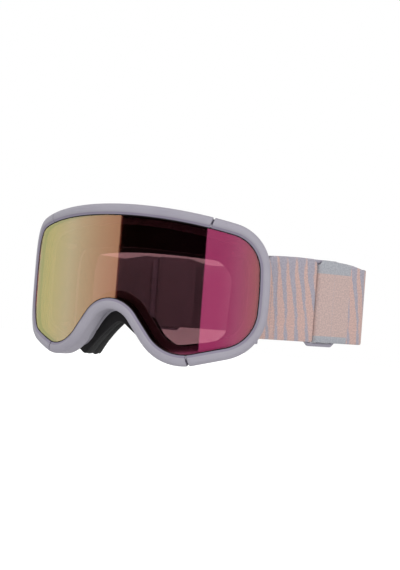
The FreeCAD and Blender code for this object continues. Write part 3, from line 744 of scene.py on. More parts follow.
class Finishes:
    """Every material of the goggles, made once."""

    def __init__(self) -> None:
        """Build the materials."""
        grey, peach = (0.375, 0.350, 0.402), (0.56, 0.385, 0.345)
        moulded = {
            "frame": ("frame_tpu", (0.352, 0.335, 0.388), (0.330, 0.312, 0.368), 0.46),
            # frame_bevel_painted_shade is a darker copy of the frame colour: painted shade on the
            # inner bevel toward the lens
            "bevel": ("frame_bevel_painted_shade", (0.255, 0.228, 0.305), (0.235, 0.210, 0.285), 0.5),
            # flex_groove_painted_shade is a dark copy of the frame colour: painted shade inside the
            # flex grooves
            "groove": ("flex_groove_painted_shade", (0.10, 0.088, 0.125), (0.085, 0.075, 0.110), 0.7),
            "slider": ("slider_nylon", (0.33, 0.31, 0.37), (0.31, 0.29, 0.35), 0.4),
            # Black rubber for the real gaskets, also used as painted shade inside the wall, on the
            # flange and at the lens edge
            "gasket": ("gasket_rubber_and_painted_shade", (0.006, 0.005, 0.006), (0.009, 0.008, 0.009), 0.9),
            "silicone": ("grip_silicone", (0.20, 0.17, 0.20), (0.18, 0.15, 0.18), 0.35, 6e-4, 0.02),
            "thread": ("sewing_thread", (0.42, 0.38, 0.42), (0.36, 0.33, 0.37), 0.8, 2e-4, 0.2),
        }
        for word, values in moulded.items():
            setattr(self, word, MouldedFinish(*values).material())
        # The second colour of each foam is painted shade in its cell pits
        foams = {
            "foam": ("face_foam", (0.019, 0.019, 0.020), (0.007, 0.007, 0.007)),
            "soft_foam": ("contour_foam", (0.016, 0.016, 0.016), (0.005, 0.005, 0.005), 6e-4),
            "vent_foam": ("vent_foam", (0.018, 0.018, 0.018), (0.004, 0.004, 0.004), 14e-4, 0.8),
        }
        for word, values in foams.items():
            setattr(self, word, FoamFinish(*values).material())
        # The fleece's second colour is a painted highlight on its fibre tips
        fleece = FleeceFinish("fleece", (0.014, 0.014, 0.015), (0.035, 0.034, 0.036))
        self.fleece = fleece.material()
        self.steel = DrawnSteelFinish("anchor_steel", (0.45, 0.45, 0.46)).material()
        self.side_webbing = WebbingFinish("side_webbing", grey, peach).material()
        rear = WebbingFinish("rear_webbing", grey, peach, block=(14.0, 35.5), lift=0.1)
        self.rear_webbing = rear.material()
        lining = WebbingFinish("plain_webbing", (0.26, 0.235, 0.262), peach, printed=False)
        self.plain_webbing = lining.material()
        self.clear = ClearLensFinish("inner_lens_clear", (0.93, 0.92, 0.92)).material()
        self.mirror = MirrorLensFinish("mirror_lens", (1.0, 0.72, 0.76), 0.5, (
            (0.0, (0.47, 0.055, 0.185)), (0.012, (0.52, 0.125, 0.24)), (0.035, (0.53, 0.19, 0.21)),
            (0.095, (0.43, 0.17, 0.095)), (0.150, (0.55, 0.30, 0.17)), (0.235, (0.61, 0.41, 0.24)),
            (0.425, (0.73, 0.67, 0.40)), (0.60, (0.70, 0.68, 0.27)), (0.78, (0.62, 0.62, 0.10)),
        )).material()


# ---------------------------------------------------------------- frame


@dataclass
class FrontFrame:
    """The soft moulded frame: rim, wall, face flange and strap lugs.

    Attributes:
        rim_width: Width of the rim outside the lens outline.
        rim_proud: How far the rim stands in front of the lens.
        round_over: Radius of the rim's outer edge.
        groove_depth: Depth of each flex groove.
        wall_outset: Outset of the wall's outer face.
        wall_thick: Thickness of the wall.
        top_groove: Arc length from the middle to each upper flex groove.
        low_groove: Arc length from the middle to each lower flex groove.
        nose_lean: How far the back of the wall leans in towards the nose.
        vent_depth: Depth of the middle of every vent.
    """

    rim_width: float = 5.6
    rim_proud: float = 1.3
    round_over: float = 2.6
    groove_depth: float = 1.25
    wall_outset: float = -0.4
    wall_thick: float = 2.2
    top_groove: float = 51.1
    low_groove: float = 43.6
    nose_lean: float = 12.0
    vent_depth: float = 11.7

    def build(self, finishes: Finishes) -> None:
        """Make every piece of the frame and place it."""
        material = finishes.frame
        # The rim's bevel and groove materials are painted shade
        rim = with_materials(self.rim(), material, finishes.bevel, finishes.groove)
        place(rim, Body.GOGGLE, material, ["front_frame"])
        place(self.wall(finishes), Body.GOGGLE, material)
        place(self.flange(finishes), Body.GOGGLE, material)
        for side, word in ((1, "right"), (-1, "left")):
            for end, level in ((1, "upper"), (-1, "lower")):
                lug = self.lug(side, end, f"strap_lug_{level}_{word}")
                place(lug, Body.GOGGLE, material)

    def section(self) -> tuple[np.ndarray, np.ndarray]:
        """Rim cross-section as (outset, inward) points, and how much a groove cuts each."""
        width, front, round_over = self.rim_width, -self.rim_proud, self.round_over
        skin = [(width - 1.0, 8.6), (width - 0.45, 8.3), (width - 0.1, 7.6)]
        skin += [(width, depth) for depth in (6.4, 5.0, 3.6, 2.4)]
        for angle in np.linspace(0, math.pi / 2, 12):
            across, deep = round_over * (1 - math.cos(angle)), round_over * (1 - math.sin(angle))
            skin.append((width - across, front + deep))
        bevel = ((2.6, -0.02), (2.2, 0.0), (1.85, 0.05), (1.6, 0.18), (1.2, 0.42), (0.8, 0.66),
                 (0.4, 0.88), (0.12, 1.02))
        skin += [(out, front + deep) for out, deep in bevel]
        hidden = [(0.0, -0.18), (0.02, -0.1), (2.5, -0.1), (2.5, 6.8),
                  (-4.3, 6.8), (-4.4, 6.95), (-4.4, 8.4), (-4.2, 8.6)]
        cut = [1.0] * len(skin) + [0.0] * len(hidden)
        return np.array(skin + hidden), np.array(cut)

    def rim(self) -> bpy.types.Object:
        """Rounded rim with its bevel, lens groove, seat and four flex grooves."""
        dense = LENS_OUTLINE.stations(0.16)
        gap = np.full(len(dense), GONE)
        for arc, top in ((self.top_groove, 1), (self.low_groove, -1)):
            for side in (-1, 1):
                near = np.where(dense[:, 1] * top > 0, dense[:, 0] - side * arc, GONE)
                gap = np.where(np.abs(near) < np.abs(gap), near, gap)
        keep = [i for i in range(len(dense)) if abs(gap[i]) < 1.5 or i % 7 == 0]
        stations, gap = dense[keep], gap[keep]
        section, cut = self.section()
        shape = (len(stations), len(section))
        outset, inward = (np.broadcast_to(section[:, i], shape).copy() for i in (0, 1))
        bow = 0.35 * np.sin(np.linspace(0, math.tau, len(section)))
        dent = np.clip(1 - np.abs(gap[:, None] - bow) / 0.55, 0, 1) ** 0.6
        depth = self.groove_depth * dent * cut
        core = np.array((2.4, 2.6))
        span = np.hypot(outset - core[0], inward - core[1])
        outset -= (outset - core[0]) / span * depth
        inward -= (inward - core[1]) / span * depth
        arc = stations[:, None, 0] + stations[:, None, 2] * outset
        height = stations[:, None, 1] + stations[:, None, 3] * outset
        faces = grid_faces(*shape, True, True)
        rim = new_piece("frame_rim", on_lens(arc, inward, height), faces, 50.0)
        bevel = [i for i, (out, deep) in enumerate(section) if -0.05 < out < 1.5 and deep < -0.1]
        for polygon in rim.data.polygons:
            row, column = divmod(polygon.index, len(section))
            # Groove faces take the dark groove material: painted shade in the notches
            if cut[column] and abs(gap[row] - bow[column]) < 0.4:
                polygon.material_index = 2
            # Bevel faces take the darker bevel material: painted shade toward the lens
            elif column in bevel:
                polygon.material_index = 1
        return rim

    def wall(self, finishes: Finishes) -> bpy.types.Object:
        """Wall square to the lens from the seat to the face flange, cut by the vents."""
        stations = LENS_OUTLINE.stations(1.6)
        outer, inner, start = self.wall_outset, self.wall_outset - self.wall_thick, 7.4
        offset = LENS_RADIUS - FACE_AXIS
        points = []
        for outset, share in ((outer, 0.0), (outer, 0.25), (outer, 0.5), (outer, 0.75),
                              (outer, 1.0), (inner, 1.0), (inner, 0.5), (inner, 0.0)):
            lean = self.nose_lean * nose_share(stations[:, 0], stations[:, 1], 26.0)
            flat = stations[:, :2] + stations[:, 2:] * (outset + lean * share)[:, None]
            arc, height = flat[:, 0], flat[:, 1]
            cosine = np.cos(arc / LENS_RADIUS)
            chord = np.sqrt(FACE_RADIUS**2 - offset**2 + (offset * cosine) ** 2)
            end = LENS_RADIUS - (offset * cosine + chord) - 0.1 - 5.0 * nose_dip(arc, height)
            points.append(on_lens(arc, start + (end - start) * share, height))
        faces = grid_faces(len(stations), 8, True, True)
        wall = new_piece("frame_wall", np.stack(points, axis=1), faces, 40.0)
        # Inner faces take the black rubber: painted shade inside the frame, whose wall is the frame
        # colour
        for polygon in wall.data.polygons:
            polygon.material_index = 1 if polygon.index % 8 >= 4 else 0
        with_materials(wall, finishes.frame, finishes.gasket)
        cutter = self.vent_cutter()
        modified(wall, "BOOLEAN", object=cutter, solver="EXACT")
        bpy.data.objects.remove(cutter)
        return shaded(wall, 35.0)

    def vent_cutter(self) -> bpy.types.Object:
        """All vent slots as one object of round-cornered blocks."""
        wall_vent, nose_vent = (11.0, 3.6, 16.0), (14.0, 1.7, 8.0)
        blocks = [(arc, 33.7, wall_vent, "Z", arc / LENS_RADIUS)
                  for arc in (-36.0, -18.0, 0.0, 18.0, 36.0)]
        for side in (-1, 1):
            for arc in (side * 41.5, side * 56.5):
                blocks.append((arc, -33.7, wall_vent, "Z", arc / LENS_RADIUS))
            blocks.append((side * 23.5, -24.0, nose_vent, "Y", math.radians(side * 27.0)))
        bm = bmesh.new()
        for arc, height, size, axis, angle in blocks:
            spot = Vector(put_in_frame(on_lens(arc, self.vent_depth, height)))
            scale = Matrix.Diagonal((*(side * MM for side in size), 1.0))
            matrix = Matrix.Translation(spot) @ Matrix.Rotation(angle, 4, axis) @ scale
            made = bmesh.ops.create_cube(bm, size=1.0, matrix=matrix)
            run = size[0 if axis == "Y" else 2] * MM
            edges = dict.fromkeys(e for v in made["verts"] for e in v.link_edges)
            edges = [e for e in edges if abs(e.calc_length() - run) < 1e-5]
            bmesh.ops.bevel(bm, geom=edges, offset=0.8 * MM, segments=3, affect="EDGES",
                            profile=0.5)
        return from_bmesh("vent_cutter", bm)

    def flange(self, finishes: Finishes) -> bpy.types.Object:
        """Curved plate that the foam is glued to, black with painted shade where it lines the
        inside.
        """
        plate = layered_ring("frame_flange", -2.2, 2.2, 0.5, 0.0)
        with_materials(plate, finishes.frame, finishes.gasket)
        for polygon in plate.data.polygons:
            x, _y, z = np.array(polygon.center) / MM
            # Front faces inside the pad outline and the lower middle take the black rubber as
            # painted shade
            front = polygon.normal.y < -0.3 and abs(x) < 54.0 and -34.0 < z < 36.0
            polygon.material_index = 1 if front or (abs(x) < 40.0 and z < 0) else 0
        return plate

    def lug(self, side: int, end: int, name: str) -> bpy.types.Object:
        """Lug from the wall to a round end on the strap's bar."""
        bar = np.array((ANCHOR[0] * side, ANCHOR[1]))
        angle = math.atan2(ANCHOR[0], LENS_RADIUS - ANCHOR[1])
        back = np.array((-side * math.cos(angle), -math.sin(angle)))
        out = np.array((side * math.sin(angle), -math.cos(angle)))
        half, thick = 1.9, 1.2
        outline = [bar + back * 15.5 + out * half * 1.5, bar + back * 8.0 + out * half * 1.1]
        outline += [bar + out * half * math.cos(a) - back * half * math.sin(a)
                    for a in np.linspace(0, math.pi, 12)]
        outline += [bar + back * 8.0 - out * half * 1.1, bar + back * 15.5 - out * half * 1.5]
        middle, count = STRAP_MIDDLE + end * 22.1, len(outline)
        points = [(x, y, middle + level) for level in (-thick, thick) for x, y in outline]
        faces = [tuple(range(count)), tuple(range(count, 2 * count))]
        faces += [(i, (i + 1) % count, (i + 1) % count + count, i + count) for i in range(count)]
        lug = new_piece(name, np.array(points), faces)
        return modified(lug, "BEVEL", width=0.45 * MM, segments=3)


def layered_ring(name: str, front: float, thick: float, edge: float, bulge: float,
                 spacing: float = 1.5, drop: float = 0.0, reach: float = 0.0) -> bpy.types.Object:
    """Soft-edged plate between the opening and the pad outline that follows the face curve.

    Args:
        name: Name of the piece.
        front: Depth of its front face behind the flange's back face.
        thick: Thickness towards the face.
        edge: Radius of its rounded edges.
        bulge: How far its sides swell between their edges.
        spacing: Distance between stations.
        drop: How far its back edge closes in on the opening at the brow.
        reach: How far its back edge stands out past the front edge.

    Returns:
        The new piece.
    """
    counts = PAD_OUTLINE.counts(spacing)
    outer = PAD_OUTLINE.stations(spacing, counts)
    inner = OPENING_OUTLINE.stations(spacing, counts)
    way = outer[:, :2] - inner[:, :2]
    width = np.linalg.norm(way, axis=1)
    way = way / width[:, None]
    brow = np.clip(inner[:, 1] / 17.0, 0, 1) ** 2 * np.clip(inner[:, 3], 0, 1)
    section = []
    for corner, (u, t) in enumerate(((-1, 0), (1, 0), (1, 1), (-1, 1))):
        for angle in np.linspace(0, math.pi / 2, 5):
            turn = angle + math.pi * (1.0 + 0.5 * corner)
            section.append((u, t, edge * math.cos(turn), edge * math.sin(turn)))
        if corner in (1, 3):
            for share in (0.25, 0.5, 0.75):
                depth = share if corner == 1 else 1 - share
                swell = 4 * depth * (1 - depth) * bulge
                section.append((u, depth, (edge + swell) * u, 0.0))
    rings = []
    for u, t, sideways, deep in section:
        depth = np.full(len(width), front + edge + t * (thick - 2 * edge) + deep)
        close = (drop * brow * t) if u < 0 else -reach * t
        along = (edge - close + sideways) if u < 0 else (width - edge - close + sideways)
        flat = inner[:, :2] + way * np.reshape(along, (-1, 1))
        x, z = flat[:, 0], flat[:, 1]
        rings.append(np.stack([x, face_side(x, z, depth), z], axis=1))
    faces = grid_faces(len(width), len(section), True, True)
    return new_piece(name, np.stack(rings, axis=1), faces, 60.0)


# ---------------------------------------------------------------- lens stack


@dataclass
class LensStack:
    """Mirror lens, spacer, clear lens, seal, and a black edge strip in front that is painted shade
    where the rim meets the lens.
    """

    tuck: float = 2.4
    columns: int = 180

    def build(self, finishes: Finishes) -> None:
        """Make and place every layer."""
        place(self.sheet("mirror_lens", 0.0, 1.6), Body.GOGGLE, finishes.mirror,
              ["outer_lens"])
        place(self.sheet("clear_lens", 4.6, 5.6), Body.GOGGLE, finishes.clear,
              ["inner_lens"])
        rings = (("spacer_gasket", self.tuck, -1.2, 1.63, 4.57, "spacer_foam", ["lens_spacer"]),
                 ("rear_gasket", self.tuck, -0.2, 5.63, 6.77, "seal_adhesive", ["lens_seal"]),
                 # lens_edge_strip is a black band of painted shade at the junction of rim and lens
                 ("lens_edge_strip", 0.3, -0.5, -0.13, -0.01, "seal_adhesive", []))
        for *shape, slot, nodes in rings:
            place(self.ring(*shape), Body.GOGGLE, finishes.gasket, nodes)

    def sheet(self, name: str, near: float, far: float) -> bpy.types.Object:
        """Curved sheet with straight upright lines between two depths."""
        flat = LENS_OUTLINE.stations(0.5)
        edge = flat[:, :2] + flat[:, 2:] * self.tuck
        ends = (int(np.argmin(edge[:, 0])), int(np.argmax(edge[:, 0])))
        upper = np.roll(edge, -ends[0], axis=0)[: (ends[1] - ends[0]) % len(edge) + 1]
        lower = np.roll(edge, -ends[1], axis=0)[: (ends[0] - ends[1]) % len(edge) + 1][::-1]
        limit = float(edge[:, 0].max()) - 0.02
        arcs = limit * np.sin(np.linspace(-math.pi / 2, math.pi / 2, self.columns))
        top = np.interp(arcs, upper[:, 0], upper[:, 1])
        bottom = np.interp(arcs, lower[:, 0], lower[:, 1])
        levels = (bottom, (top + bottom) / 2, top)
        rings = [on_lens(arcs, near, level) for level in levels]
        rings += [on_lens(arcs, far, level) for level in reversed(levels)]
        faces = grid_faces(len(arcs), len(rings), False, True)
        last = (len(arcs) - 1) * len(rings)
        faces += [tuple(range(len(rings))), tuple(range(last, last + len(rings)))]
        return new_piece(name, np.stack(rings, axis=1), faces, 30.0)

    def ring(self, name: str, outer: float, inner: float, near: float,
             far: float) -> bpy.types.Object:
        """Flat ring round the lens with a rectangular section."""
        flat = LENS_OUTLINE.stations(1.2)
        rings = []
        for outset, inward in ((outer, near), (outer, far), (inner, far), (inner, near)):
            edge = flat[:, :2] + flat[:, 2:] * outset
            rings.append(on_lens(edge[:, 0], inward, edge[:, 1]))
        return new_piece(name, np.stack(rings, axis=1), grid_faces(len(flat), 4, True, True))


# ---------------------------------------------------------------- face foam


@dataclass
class FacePad:
    """Two layers of foam and the fleece that meets the face; the filter foam over the vents is not
    made here.
    """

    base_thick: float = 6.5
    contour_thick: float = 7.0
    fleece_thick: float = 1.2

    def build(self, finishes: Finishes) -> None:
        """Make and place every layer."""
        base = layered_ring("base_foam_layer", 0.0, self.base_thick, 0.5, 0.25)
        place(base, Body.GOGGLE, finishes.foam, ["base_foam"])
        contour = layered_ring("contour_foam_layer", self.base_thick, self.contour_thick, 1.1, 0.7,
                               drop=2.0)
        place(contour, Body.GOGGLE, finishes.soft_foam, ["contour_foam"])
        start = self.base_thick + self.contour_thick
        fleece = layered_ring("fleece_layer", start - 0.1, self.fleece_thick + 0.1, 0.6, 0.1,
                              drop=1.2, reach=0.3)
        place(fleece, Body.GOGGLE, finishes.fleece, ["fleece_facing"])


# ---------------------------------------------------------------- strap loop


@dataclass(frozen=True)
class SliderPlace:
    """Where a slider sits in plan and which way its strap runs.

    Attributes:
        centre: Plan position of its centre bar.
        heading: Unit vector along the strap towards the back of the head.
        side: 1 for right and -1 for left.
    """

    centre: tuple[float, float]
    heading: tuple[float, float]
    side: int

    def point(self, ahead: float, outward: float, radius: float = 0.0) -> Corner:
        """Route corner ahead of the centre bar and outward from the loop."""
        across = (self.heading[1] * self.side, -self.heading[0] * self.side)
        return (self.centre[0] + self.heading[0] * ahead + across[0] * outward,
                self.centre[1] + self.heading[1] * ahead + across[1] * outward, radius)

    def route(self, corners: Sequence[tuple[float, ...]]) -> list[Corner]:
        """Route corners from their ahead, outward and radius."""
        return [self.point(*corner) for corner in corners]

    def level_point(self, ahead: float) -> tuple[float, ...]:
        """Point of the row frame on the strap's middle, ahead of the centre bar."""
        x, y, _radius = self.point(ahead, 0.0)
        return tuple(put_in_frame(np.array((x, y, STRAP_MIDDLE))))


RIGHT_SLIDER = SliderPlace((81.573, 76.318), (0.51493, 0.85723), 1)
LEFT_SLIDER = SliderPlace((-56.0, 140.925), (0.86064, 0.50921), -1)
RIGHT_ANCHOR = SliderPlace(ANCHOR, (0.51493, 0.85723), 1)
LEFT_ANCHOR = SliderPlace((-ANCHOR[0], ANCHOR[1]), (-0.17583, 0.98442), -1)
TEMPLE_FOLD = (97.0, 102.0)
REAR_BEND = (-17.0, 164.0)
LEFT_BEND = (-77.0, 128.5)
HEM = ((11.5, 0.6), (5.0, -0.2, 3.0), (2.2, -2.45, 2.0),
       (-2.45, -2.45, 2.3), (-2.45, 2.5, 2.3), (4.0, 2.45, 6.0))
DIVE = ((-4.5, 2.2, 0.95), (-4.3, -4.5, 1.7), (19.0, -4.5))
SEWN_END = ((8.2, 0.45), (3.6, -2.3, 2.0), (-2.6, -2.6, 2.4))
SEWN_RUN = ((3.2, 2.5, 4.0), (9.0, 2.1, 8.0))


@dataclass
class Webbing:
    """A length of flat webbing that stands upright along a plan route.

    Attributes:
        name: Name of the piece.
        route: Plan corners x, y and radius.
        side: Which side of the route is the outside of the loop, 1 for right of travel.
        pinches: First place, last place and height lost at the top, where it passes a window.
    """

    name: str
    route: Sequence[Corner]
    side: int
    pinches: Sequence[tuple[float, float, float]] = ()
    thick: float = 1.6
    rows: int = 10

    def build(self) -> bpy.types.Object:
        """Make the strip, its map and its two faces."""
        path = rounded_path(self.route, PATH_STEP)
        steps = np.linalg.norm(np.diff(path, axis=0), axis=1)
        along = np.concatenate([[0.0], np.cumsum(steps)])
        tangent = np.gradient(path, axis=0)
        tangent /= np.linalg.norm(tangent, axis=1)[:, None]
        outward = np.stack([tangent[:, 1], -tangent[:, 0]], axis=1) * self.side
        lost = np.zeros(len(path))
        for first, last, amount in self.pinches:
            inside = np.minimum(along - first, last - along)
            lost = np.maximum(lost, amount * np.clip(inside / 1.5 + 1, 0, 1))
        lost -= stretch(path)
        section = self.section()
        count = len(section)
        grid = np.zeros((len(path), count, 3))
        for index, (across, level) in enumerate(section):
            grid[:, index, :2] = path + outward * across
            grid[:, index, 2] = STRAP_LOW + (STRAP_HEIGHT - lost) * level
        faces = grid_faces(len(path), count, False, True)
        last = (len(path) - 1) * count
        faces += [tuple(range(count)), tuple(range(last, last + count))]
        strip = new_piece(self.name, grid, faces, 50.0)
        self.chart(strip, path, along, outward)
        return strip

    def section(self) -> list[tuple[float, float]]:
        """Cross-section as (across, share of height), round at both edges."""
        half = self.thick / 2
        edge = half / STRAP_HEIGHT
        turn = np.linspace(-math.pi / 2, math.pi / 2, 5)
        top = [(-half * math.sin(a), 1 - edge + edge * math.cos(a)) for a in turn]
        low = [(half * math.sin(a), edge - edge * math.cos(a)) for a in turn]
        shares = np.linspace(edge, 1 - edge, self.rows)[1:-1]
        return [(half, s) for s in shares] + top + [(-half, s) for s in shares[::-1]] + low

    def chart(self, strip: bpy.types.Object, path: np.ndarray, along: np.ndarray,
              outward: np.ndarray) -> None:
        """Write the strip's map, in units of 100 mm, and the material of its two faces.

        Args:
            strip: The strip's object.
            path: Plan points of its route.
            along: Length up to each point.
            outward: Plan direction out of the loop at each point.
        """
        mesh = strip.data
        chart = mesh.uv_layers.new(name="strap_map")
        for polygon in mesh.polygons:
            middle = np.array(polygon.center[:2]) / MM + (0.0, FACE_PLANE)
            near = int(np.argmin(np.sum((path - middle) ** 2, axis=1)))
            window = range(max(0, near - 2), min(len(path), near + 3))
            for loop in polygon.loop_indices:
                spot = np.array(mesh.vertices[mesh.loops[loop].vertex_index].co) / MM
                flat = spot[:2] + (0.0, FACE_PLANE)
                close = min(window, key=lambda i: float(np.sum((path[i] - flat) ** 2)))
                chart.data[loop].uv = (along[close] / MAP_UNIT, (spot[2] - STRAP_LOW) / MAP_UNIT)
            facing = float(np.dot(np.array(polygon.normal[:2]), outward[near]))
            polygon.material_index = (Face.INSIDE if facing < -0.3 else Face.OUTSIDE).value


@dataclass
class StitchRows:
    """Rows of thread stitches laid by Geometry Nodes."""

    pitch: float = 1.6
    length: float = 1.1
    radius: float = 0.16

    def tree(self, material: bpy.types.Material) -> bpy.types.NodeTree:
        """Node tree that puts a stitch at every point of an upright row."""
        tree = bpy.data.node_groups.new("stitch_rows", "GeometryNodeTree")
        new_socket = tree.interface.new_socket
        new_socket("Geometry", in_out="INPUT", socket_type="NodeSocketGeometry")
        for word in ("Pitch", "Length", "Radius"):
            new_socket(word, in_out="INPUT", socket_type="NodeSocketFloat")
        new_socket("Geometry", in_out="OUTPUT", socket_type="NodeSocketGeometry")
        maker = NodeMaker(tree)
        given = maker.add("NodeGroupInput").outputs
        curve = maker.add("GeometryNodeMeshToCurve", {"Mesh": given["Geometry"]}).outputs[0]
        spots = {"Curve": curve, "Length": given["Pitch"]}
        points = maker.add("GeometryNodeCurveToPoints", spots, mode="LENGTH").outputs["Points"]
        ball = maker.add("GeometryNodeMeshIcoSphere", {"Subdivisions": 2}).outputs["Mesh"]
        half = maker.math("DIVIDE", given["Length"], 2.0)
        sizes = {0: given["Radius"], 1: given["Radius"], 2: half}
        scale = maker.add("ShaderNodeCombineXYZ", sizes).outputs[0]
        stitch = maker.add("GeometryNodeTransform", {"Geometry": ball, "Scale": scale}).outputs[0]
        put = maker.add("GeometryNodeInstanceOnPoints", {"Points": points, "Instance": stitch})
        real = maker.add("GeometryNodeRealizeInstances", {0: put.outputs[0]}).outputs[0]
        dressed = {"Geometry": real, "Material": material}
        dress = maker.add("GeometryNodeSetMaterial", dressed)
        maker.add("NodeGroupOutput", {0: dress.outputs[0]})
        return tree

    def build(self, name: str, rows: Sequence[tuple[float, float]], tree: bpy.types.NodeTree,
              half: float) -> bpy.types.Object:
        """Lay stitches along upright rows.

        Args:
            name: Name of the piece.
            rows: Plan point of each row.
            tree: Node tree that lays them.
            half: Half the height of every row.

        Returns:
            The stitches as one plain mesh.
        """
        mesh = bpy.data.meshes.new(name)
        points = [(x, y, STRAP_MIDDLE + z) for x, y in rows for z in (-half, half)]
        edges = [(2 * i, 2 * i + 1) for i in range(len(rows))]
        mesh.from_pydata([tuple(p) for p in put_in_frame(np.array(points))], edges, [])
        piece = linked(name, mesh)
        lay = piece.modifiers.new("stitches", "NODES")
        lay.node_group = tree
        sizes = {"Pitch": self.pitch * MM, "Length": self.length * MM, "Radius": self.radius * MM}
        for item in tree.interface.items_tree:
            if item.in_out == "INPUT" and item.name in sizes:
                lay[item.identifier] = sizes[item.name]
        finished(piece)
        piece.data.shade_smooth()
        return piece


@dataclass
class Slider:
    """Moulded tri-glide: a chamfered plate with two windows and softened edges."""

    name: str
    spot: SliderPlace
    rise: float = 0.35
    length: float = 21.5
    height: float = 46.2
    thick: float = 2.0
    bar: float = 3.6
    rail: float = 2.1
    chamfer: float = 3.4
    centre_half: float = 1.1
    shift: float = 1.9

    def build(self) -> bpy.types.Object:
        """Make the plate and soften its edges."""
        wide, tall, cut = self.length / 2, self.height / 2, self.chamfer
        edge, rail = wide - self.bar, tall - self.rail
        loops = [[(-wide + cut, -tall), (wide - cut, -tall), (wide, -tall + cut),
                  (wide, tall - cut), (wide - cut, tall), (-wide + cut, tall),
                  (-wide, tall - cut), (-wide, -tall + cut)]]
        for left, right in ((-edge, -self.centre_half), (self.centre_half, edge)):
            loops.append([(left, -rail), (right, -rail), (right, rail), (left, rail)])
        bm = bmesh.new()
        edges = []
        for loop in loops:
            verts = []
            for ahead, level in loop:
                x, y, _radius = self.spot.point(ahead + self.shift, -self.thick / 2)
                spot = put_in_frame(np.array((x, y, STRAP_MIDDLE + self.rise + level)))
                verts.append(bm.verts.new(spot))
            edges += [bm.edges.new((a, b)) for a, b in zip(verts, verts[1:] + verts[:1])]
        bmesh.ops.triangle_fill(bm, edges=edges, use_beauty=True)
        raised = bmesh.ops.extrude_face_region(bm, geom=bm.faces[:])["geom"]
        moved = [g for g in raised if isinstance(g, bmesh.types.BMVert)]
        move = np.subtract(self.spot.point(0, self.thick), self.spot.point(0, 0)) * MM
        bmesh.ops.translate(bm, verts=moved, vec=Vector(move))
        bmesh.ops.recalc_face_normals(bm, faces=bm.faces)
        slider = modified(from_bmesh(self.name, bm), "BEVEL", width=0.6 * MM, segments=4,
                          limit_method="ANGLE", angle_limit=math.radians(30))
        return shaded(slider, 40.0)


@dataclass
class StrapLoop:
    """Side straps, sliders, rear strap, grip print and sewing."""

    stitches: StitchRows = field(default_factory=StitchRows)

    def build(self, finishes: Finishes) -> None:
        """Make and place the whole loop."""
        self.side_strap(RIGHT_ANCHOR, RIGHT_SLIDER, "right", finishes)
        self.side_strap(LEFT_ANCHOR, LEFT_SLIDER, "left", finishes)
        for spot, word, body in ((RIGHT_SLIDER, "right", Body.RIGHT_SLIDER),
                                 (LEFT_SLIDER, "left", Body.LEFT_SLIDER)):
            slider = Slider(f"tri_glide_{word}", spot).build()
            place(slider, body, finishes.slider, [f"slider_{word}"])
        self.rear(finishes)
        self.sewing(finishes)

    def side_strap(self, anchor: SliderPlace, slider: SliderPlace, word: str,
                   finishes: Finishes) -> None:
        """Front strap: hem, turn round the bar, run, dive through the slider and tail.

        Args:
            anchor: Its bar in the frame's lugs.
            slider: The slider that it is threaded through.
            word: "right" or "left". The left one also bends at the temple.
            finishes: The materials.
        """
        route = anchor.route(HEM)
        if word == "left":
            route.append((LEFT_BEND[0] - 1.9, LEFT_BEND[1] + 1.1, 14.0))
        route += slider.route(DIVE)
        dive = path_length(route) - 23.4 - 3.3
        pinches = ((dive - 2.2, dive + 2.0, 2.4),)
        strap = Webbing(f"side_webbing_{word}", route, anchor.side, pinches).build()
        with_materials(strap, finishes.side_webbing, finishes.plain_webbing)
        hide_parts(f"side_strap_{word}")
        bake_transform(strap)
        LOG.info("%s: %d faces", strap.name, len(strap.data.polygons))

    def rear(self, finishes: Finishes) -> None:
        """Rear strap, sewn round both centre bars, and its printed grip dots."""
        right, left = RIGHT_SLIDER, LEFT_SLIDER
        route = right.route((*SEWN_END, (-2.6, 2.6, 1.6), *SEWN_RUN))
        route += [(TEMPLE_FOLD[0] + 1.2, TEMPLE_FOLD[1] + 1.9, 7.8),
                  (REAR_BEND[0] + 0.2, REAR_BEND[1] + 2.4, 44.0)]
        route += left.route((*SEWN_END, (-2.6, 2.6, 2.4), *SEWN_RUN))[::-1]
        total = path_length(route)
        pinches = ((-5.0, 15.0, 2.6), (total - 15.0, total + 5.0, 2.6))
        strap = Webbing("rear_webbing", route, 1, pinches).build()
        with_materials(strap, finishes.rear_webbing, finishes.plain_webbing)
        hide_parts("rear_strap")
        low, high = right.level_point(12.0), right.level_point(26.0)
        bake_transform(strap)
        LOG.info("rear_webbing: %d faces", len(strap.data.polygons))
        self.grip(finishes)

    def grip(self, finishes: Finishes) -> None:
        """Domed silicone dots in upright rows on the inside of the rear strap."""
        start, end = np.array(TEMPLE_FOLD), np.array(REAR_BEND)
        length = np.linalg.norm(end - start)
        run = (end - start) / length
        inside = np.array((-run[1], run[0]))
        rows = [tuple(start + run * (length / 2 + (index - 5.5) * 5.0) - inside * 1.25)
                for index in range(12)]
        dots = StitchRows(pitch=2.0, length=1.3, radius=0.55)
        piece = dots.build("grip_dots", rows, dots.tree(finishes.silicone), 18.0)
        place(piece, Body.REAR_STRAP, finishes.silicone, ["grip_print"])

    def sewing(self, finishes: Finishes) -> None:
        """Rows of stitches through the sewn ends of both side straps and the right sewn end of the
        rear strap.
        """
        tree = self.stitches.tree(finishes.thread)
        ends = (("anchor_stitches_right", RIGHT_ANCHOR, Body.RIGHT_STRAP, (6.5, 9.5), 3.28),
                ("anchor_stitches_left", LEFT_ANCHOR, Body.LEFT_STRAP, (6.5, 9.5), 3.28),
                ("rear_stitches_right", RIGHT_SLIDER, Body.RIGHT_SLIDER, (5.6, 7.2), 2.95))
        for name, spot, body, aheads, outward in ends:
            rows = [spot.point(ahead, outward)[:2] for ahead in aheads]
            piece = self.stitches.build(name, rows, tree, 19.5)
            place(piece, body, finishes.thread)


